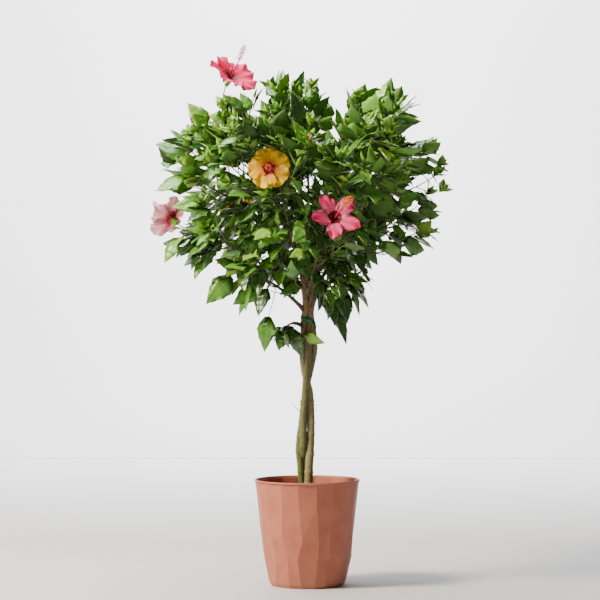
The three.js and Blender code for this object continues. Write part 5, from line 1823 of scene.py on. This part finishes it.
def petal(throat, facing, diameter, turn, half, ruffle, sharpness, opening, curl, draw):
    """A petal as a closed thin sheet: its points, faces, parts of the pattern, and places along it."""
    fine = np.linspace(0, 1, 401)
    lean = 0.1 + (opening - 0.1) * smooth_share(fine, 0.1, 0.47)
    span = (diameter / 2 - THROAT_RADIUS) / np.sin(lean).sum()
    lean = lean + curl * np.clip((fine - 0.5) / 0.5, 0, 1) ** 1.4
    reach = THROAT_RADIUS + span * np.cumsum(np.sin(lean))
    rise = span * np.cumsum(np.cos(lean))
    rise = rise - np.interp(THROAT_SHARE, fine, rise)
    away = round_axis(facing, turn)
    across = np.cross(facing, away)

    share = 1 - (1 - np.linspace(0, 1, PETAL_ROWS + 1)) ** 1.25
    u, s = np.meshgrid(share[:-1], np.linspace(-1, 1, PETAL_COLUMNS + 1), indexing="ij")
    power = mix(0.95, sharpness, smooth_share(u, 0.5, 0.8))
    x = s * np.maximum(half * np.sin(np.pi * u ** 1.9) ** power, 1.2)
    out = np.hypot(x / half, np.clip(u - 0.55, 0, 1) / 0.45)
    margin = np.clip((out - 0.3) / 0.7, 0, 1) ** 1.6
    around = np.arctan2(x / half, (u - 0.45) * 1.8)
    phase = [draw() * 6.28 for _ in range(3)]
    wave = np.sin(6 * around + phase[0]) + 0.55 * np.sin(13 * around + phase[1])
    folds = 0.45 * np.cos(9.4 * s + phase[2]) * smooth_share(u, 0.3, 0.5) * (1 - 0.6 * margin)
    lift = ruffle * margin * wave + folds + PETAL_OVERLAP * s
    r, z, tilt = (np.interp(u, fine, values) for values in (reach, rise, lean))
    bow = r * (1 + 7 * np.clip(u - 0.36, 0, 1)) + 1
    sideways = bow * np.sin(x / bow)
    inwards = bow * (1 - np.cos(x / bow))
    front = np.cos(tilt)[..., None] * -away + np.sin(tilt)[..., None] * facing
    body = throat + z[..., None] * facing + (r - inwards)[..., None] * away + sideways[..., None] * across
    body = body + lift[..., None] * front
    tip = throat + rise[-1] * facing + reach[-1] * away

    rows, columns = PETAL_ROWS, PETAL_COLUMNS + 1
    points = [tuple(p) for p in body.reshape(-1, 3)]
    places = [(0.5 + b / 2, a) for a, b in zip(u.ravel(), s.ravel())]
    top = np.arange(rows * columns).reshape(rows, columns)
    under = top.copy()
    for i in range(1, rows):
        for j in range(1, columns - 1):
            under[i, j] = len(points)
            points.append(tuple(body[i, j] - front[i, j] * PETAL_THICKNESS))
            places.append(places[top[i, j]])
    points.append(tuple(tip))
    places.append((0.5, 1.0))
    faces, parts = [], []
    fray = [0.035 * (draw() - 0.5) for _ in range(columns)]
    for sheet, flip in ((top, False), (under, True)):
        for j in range(columns - 1):
            for i in range(rows - 1):
                face = (sheet[i, j], sheet[i, j + 1], sheet[i + 1, j + 1], sheet[i + 1, j])
                faces.append(face[::-1] if flip else face)
                middle = (share[i] + share[i + 1]) / 2 + fray[j]
                parts.append(0 if middle < EYE_SHARE else 1 if middle < HALO_SHARE else 2)
            face = (sheet[-1, j], sheet[-1, j + 1], len(points) - 1)
            faces.append(face[::-1] if flip else face)
            parts.append(2)
    return points, faces, parts, places


def calyx(points, seat, up):
    """The green cup that holds a bloom, with five lobes. Returns its faces."""
    rings = []
    for number, (level, radius) in enumerate(CALYX_RINGS):
        ring = []
        for k in range(CALYX_SIDES):
            lobe = (1 if k % 2 else -1) * (number == 3)
            away = round_axis(up, math.tau * k / CALYX_SIDES)
            ring.append(seat + up * CALYX_LENGTH * (level + 0.16 * lobe) + away * (radius + 0.9 * lobe))
        add_ring(points, rings, ring)
    return close_rings(points, rings, seat + up * 0.25 * CALYX_LENGTH, seat - up * 0.5)


def stamen_shape(name, filament, swelling, part):
    """A stamen or a style one unit long along +Y: a thread with a swollen end."""
    points, rings = [], []
    neck = 0.6 * swelling
    turns = [math.tau * k / 5 for k in range(5)]
    for level, radius in ((0.0, filament), (0.7, filament), (0.78, neck), (0.88, swelling), (0.97, neck)):
        add_ring(points, rings, [(radius * math.sin(t), level, radius * math.cos(t)) for t in turns])
    faces = close_rings(points, rings, (0.0, 1.0, 0.0), (0.0, -0.02, 0.0))
    swollen = [part if max(face[:3]) > rings[1][4] and min(face) >= rings[1][0] else 0 for face in faces]
    return with_parts(name, points, faces, swollen)


stamen_shapes = shape_collection("stamen_shapes", [
    stamen_shape("stamen_0_anther", 0.03, 0.17, 1), stamen_shape("stamen_1_style", 0.06, 0.2, 2)])
stamen_tree = copies_tree(3, 1)
cup_points, cup_faces, cup_parts = [], [], []
draw = draws_from(871)
for mass_name, spot, towards, diameter in BLOOMS:
    branch = next(branch for branch in branches if branch["name"] == mass_name)
    look = BLOOM_LOOKS[mass_name]
    tint, half, ruffle, sharpness, opening, turn, column_lean, curls, flesh, halo, eye, small = look
    throat, facing = np.array(spot, float), unit(np.array(towards))
    points, faces, parts, places = [], [], [], []
    for k in range(PETALS):
        made = petal(throat, facing, diameter, turn + k * math.tau / PETALS, half, ruffle, sharpness,
                     opening, curls[k], draw)
        start = len(points)
        points += made[0]
        faces += [tuple(start + int(i) for i in face) for face in made[1]]
        parts += made[2]
        places += made[3]
    mesh = mesh_of("bloom_" + tint, points, faces)
    layer = mesh.uv_layers.new(name="petal")
    layer.data.foreach_set("uv", np.array([places[loop.vertex_index] for loop in mesh.loops]).ravel())
    mesh.polygons.foreach_set("material_index", parts)
    skins = [soft_skin("petal_eye_" + tint, (eye, eye), 0.6, 5),
             soft_skin("petal_halo_" + tint, (halo, halo), 0.55, 5),
             petal_skin("petal_silk_" + tint, *flesh)]
    bloom = new_object("bloom_" + tint, faces_out(mesh), *skins)

    bend = blend((facing, 1), (np.array((1.0, 0.0, 0.0)), column_lean[0]), (UP, column_lean[1]))
    column = np.array((throat - facing * 20, throat + facing * 0.3 * diameter,
                       throat + bend * COLUMN_REACH * diameter))
    column_skin = soft_skin("column_skin_" + tint, (small[0], small[0]), 0.5, 3.33)
    core = limbs_along("column_" + tint, [tapered(column, 16, 2.1, 0.9)], 8, column_skin)
    spots = []
    for k in range(STAMENS):
        t = mix(0.6, 0.97, ((k + 0.5) / STAMENS) ** 0.8)
        heading = heading_at(column, t)
        d = blend((round_axis(heading, k * GOLDEN), 1), (heading, mix(0.1, 0.7, draw())))
        length = mix(6.5, 10.0, draw())
        spots.append((at(column, t), d, round_axis(d, 0), (length,) * 3, 0, 0))
    heading = heading_at(column, 1)
    for k in range(PADS):
        d = blend((heading, 1), (round_axis(heading, math.tau * k / PADS), 0.75))
        spots.append((at(column, 0.98), d, round_axis(d, 0), (PAD_LENGTH,) * 3, 1, 0))
    threads = [
        column_skin,
        soft_skin("anther_pollen_" + tint, (small[1], small[1]), 0.8, 1.11),
        soft_skin("stigma_pad_" + tint, (small[2], small[2]), 0.7, 1.11),
    ]
    stamens = copies_on(stamen_tree, "stamens_" + tint, stamen_shapes, threads, spots)
    for piece in (bloom, core, stamens):
        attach(piece, "root")

    seat = throat - facing * CALYX_LENGTH
    cup = calyx(cup_points, seat, facing)
    bracts = add_bracts(cup_points, BRACTS, seat - facing * 0.5, facing, 17.0, 1.1, 1.1, draw)
    cup_faces += cup + bracts
    cup_parts += [0] * len(cup) + [1] * len(bracts)
    node = at(branch["curve"], mix(branch["entry"], 1, 0.55))
    apart = math.sqrt((node - seat) @ (node - seat))
    stalk = np.array((node, seat - facing * 0.35 * apart, seat + facing))
    bud_stalks.append(tapered(stalk, 20, 2.2, 1.7))
clear_collection(stamen_shapes)

cups_mesh = mesh_of("bloom_cups", cup_points, cup_faces)
cups_mesh.polygons.foreach_set("material_index", cup_parts)
cups = new_object("bloom_cups", faces_out(cups_mesh), calyx_skin, bract_skin)
flower_stalks = limbs_along("flower_stalks", bud_stalks, 6, leaf_stalk)
for piece in (cups, flower_stalks):
    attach(piece, "root")
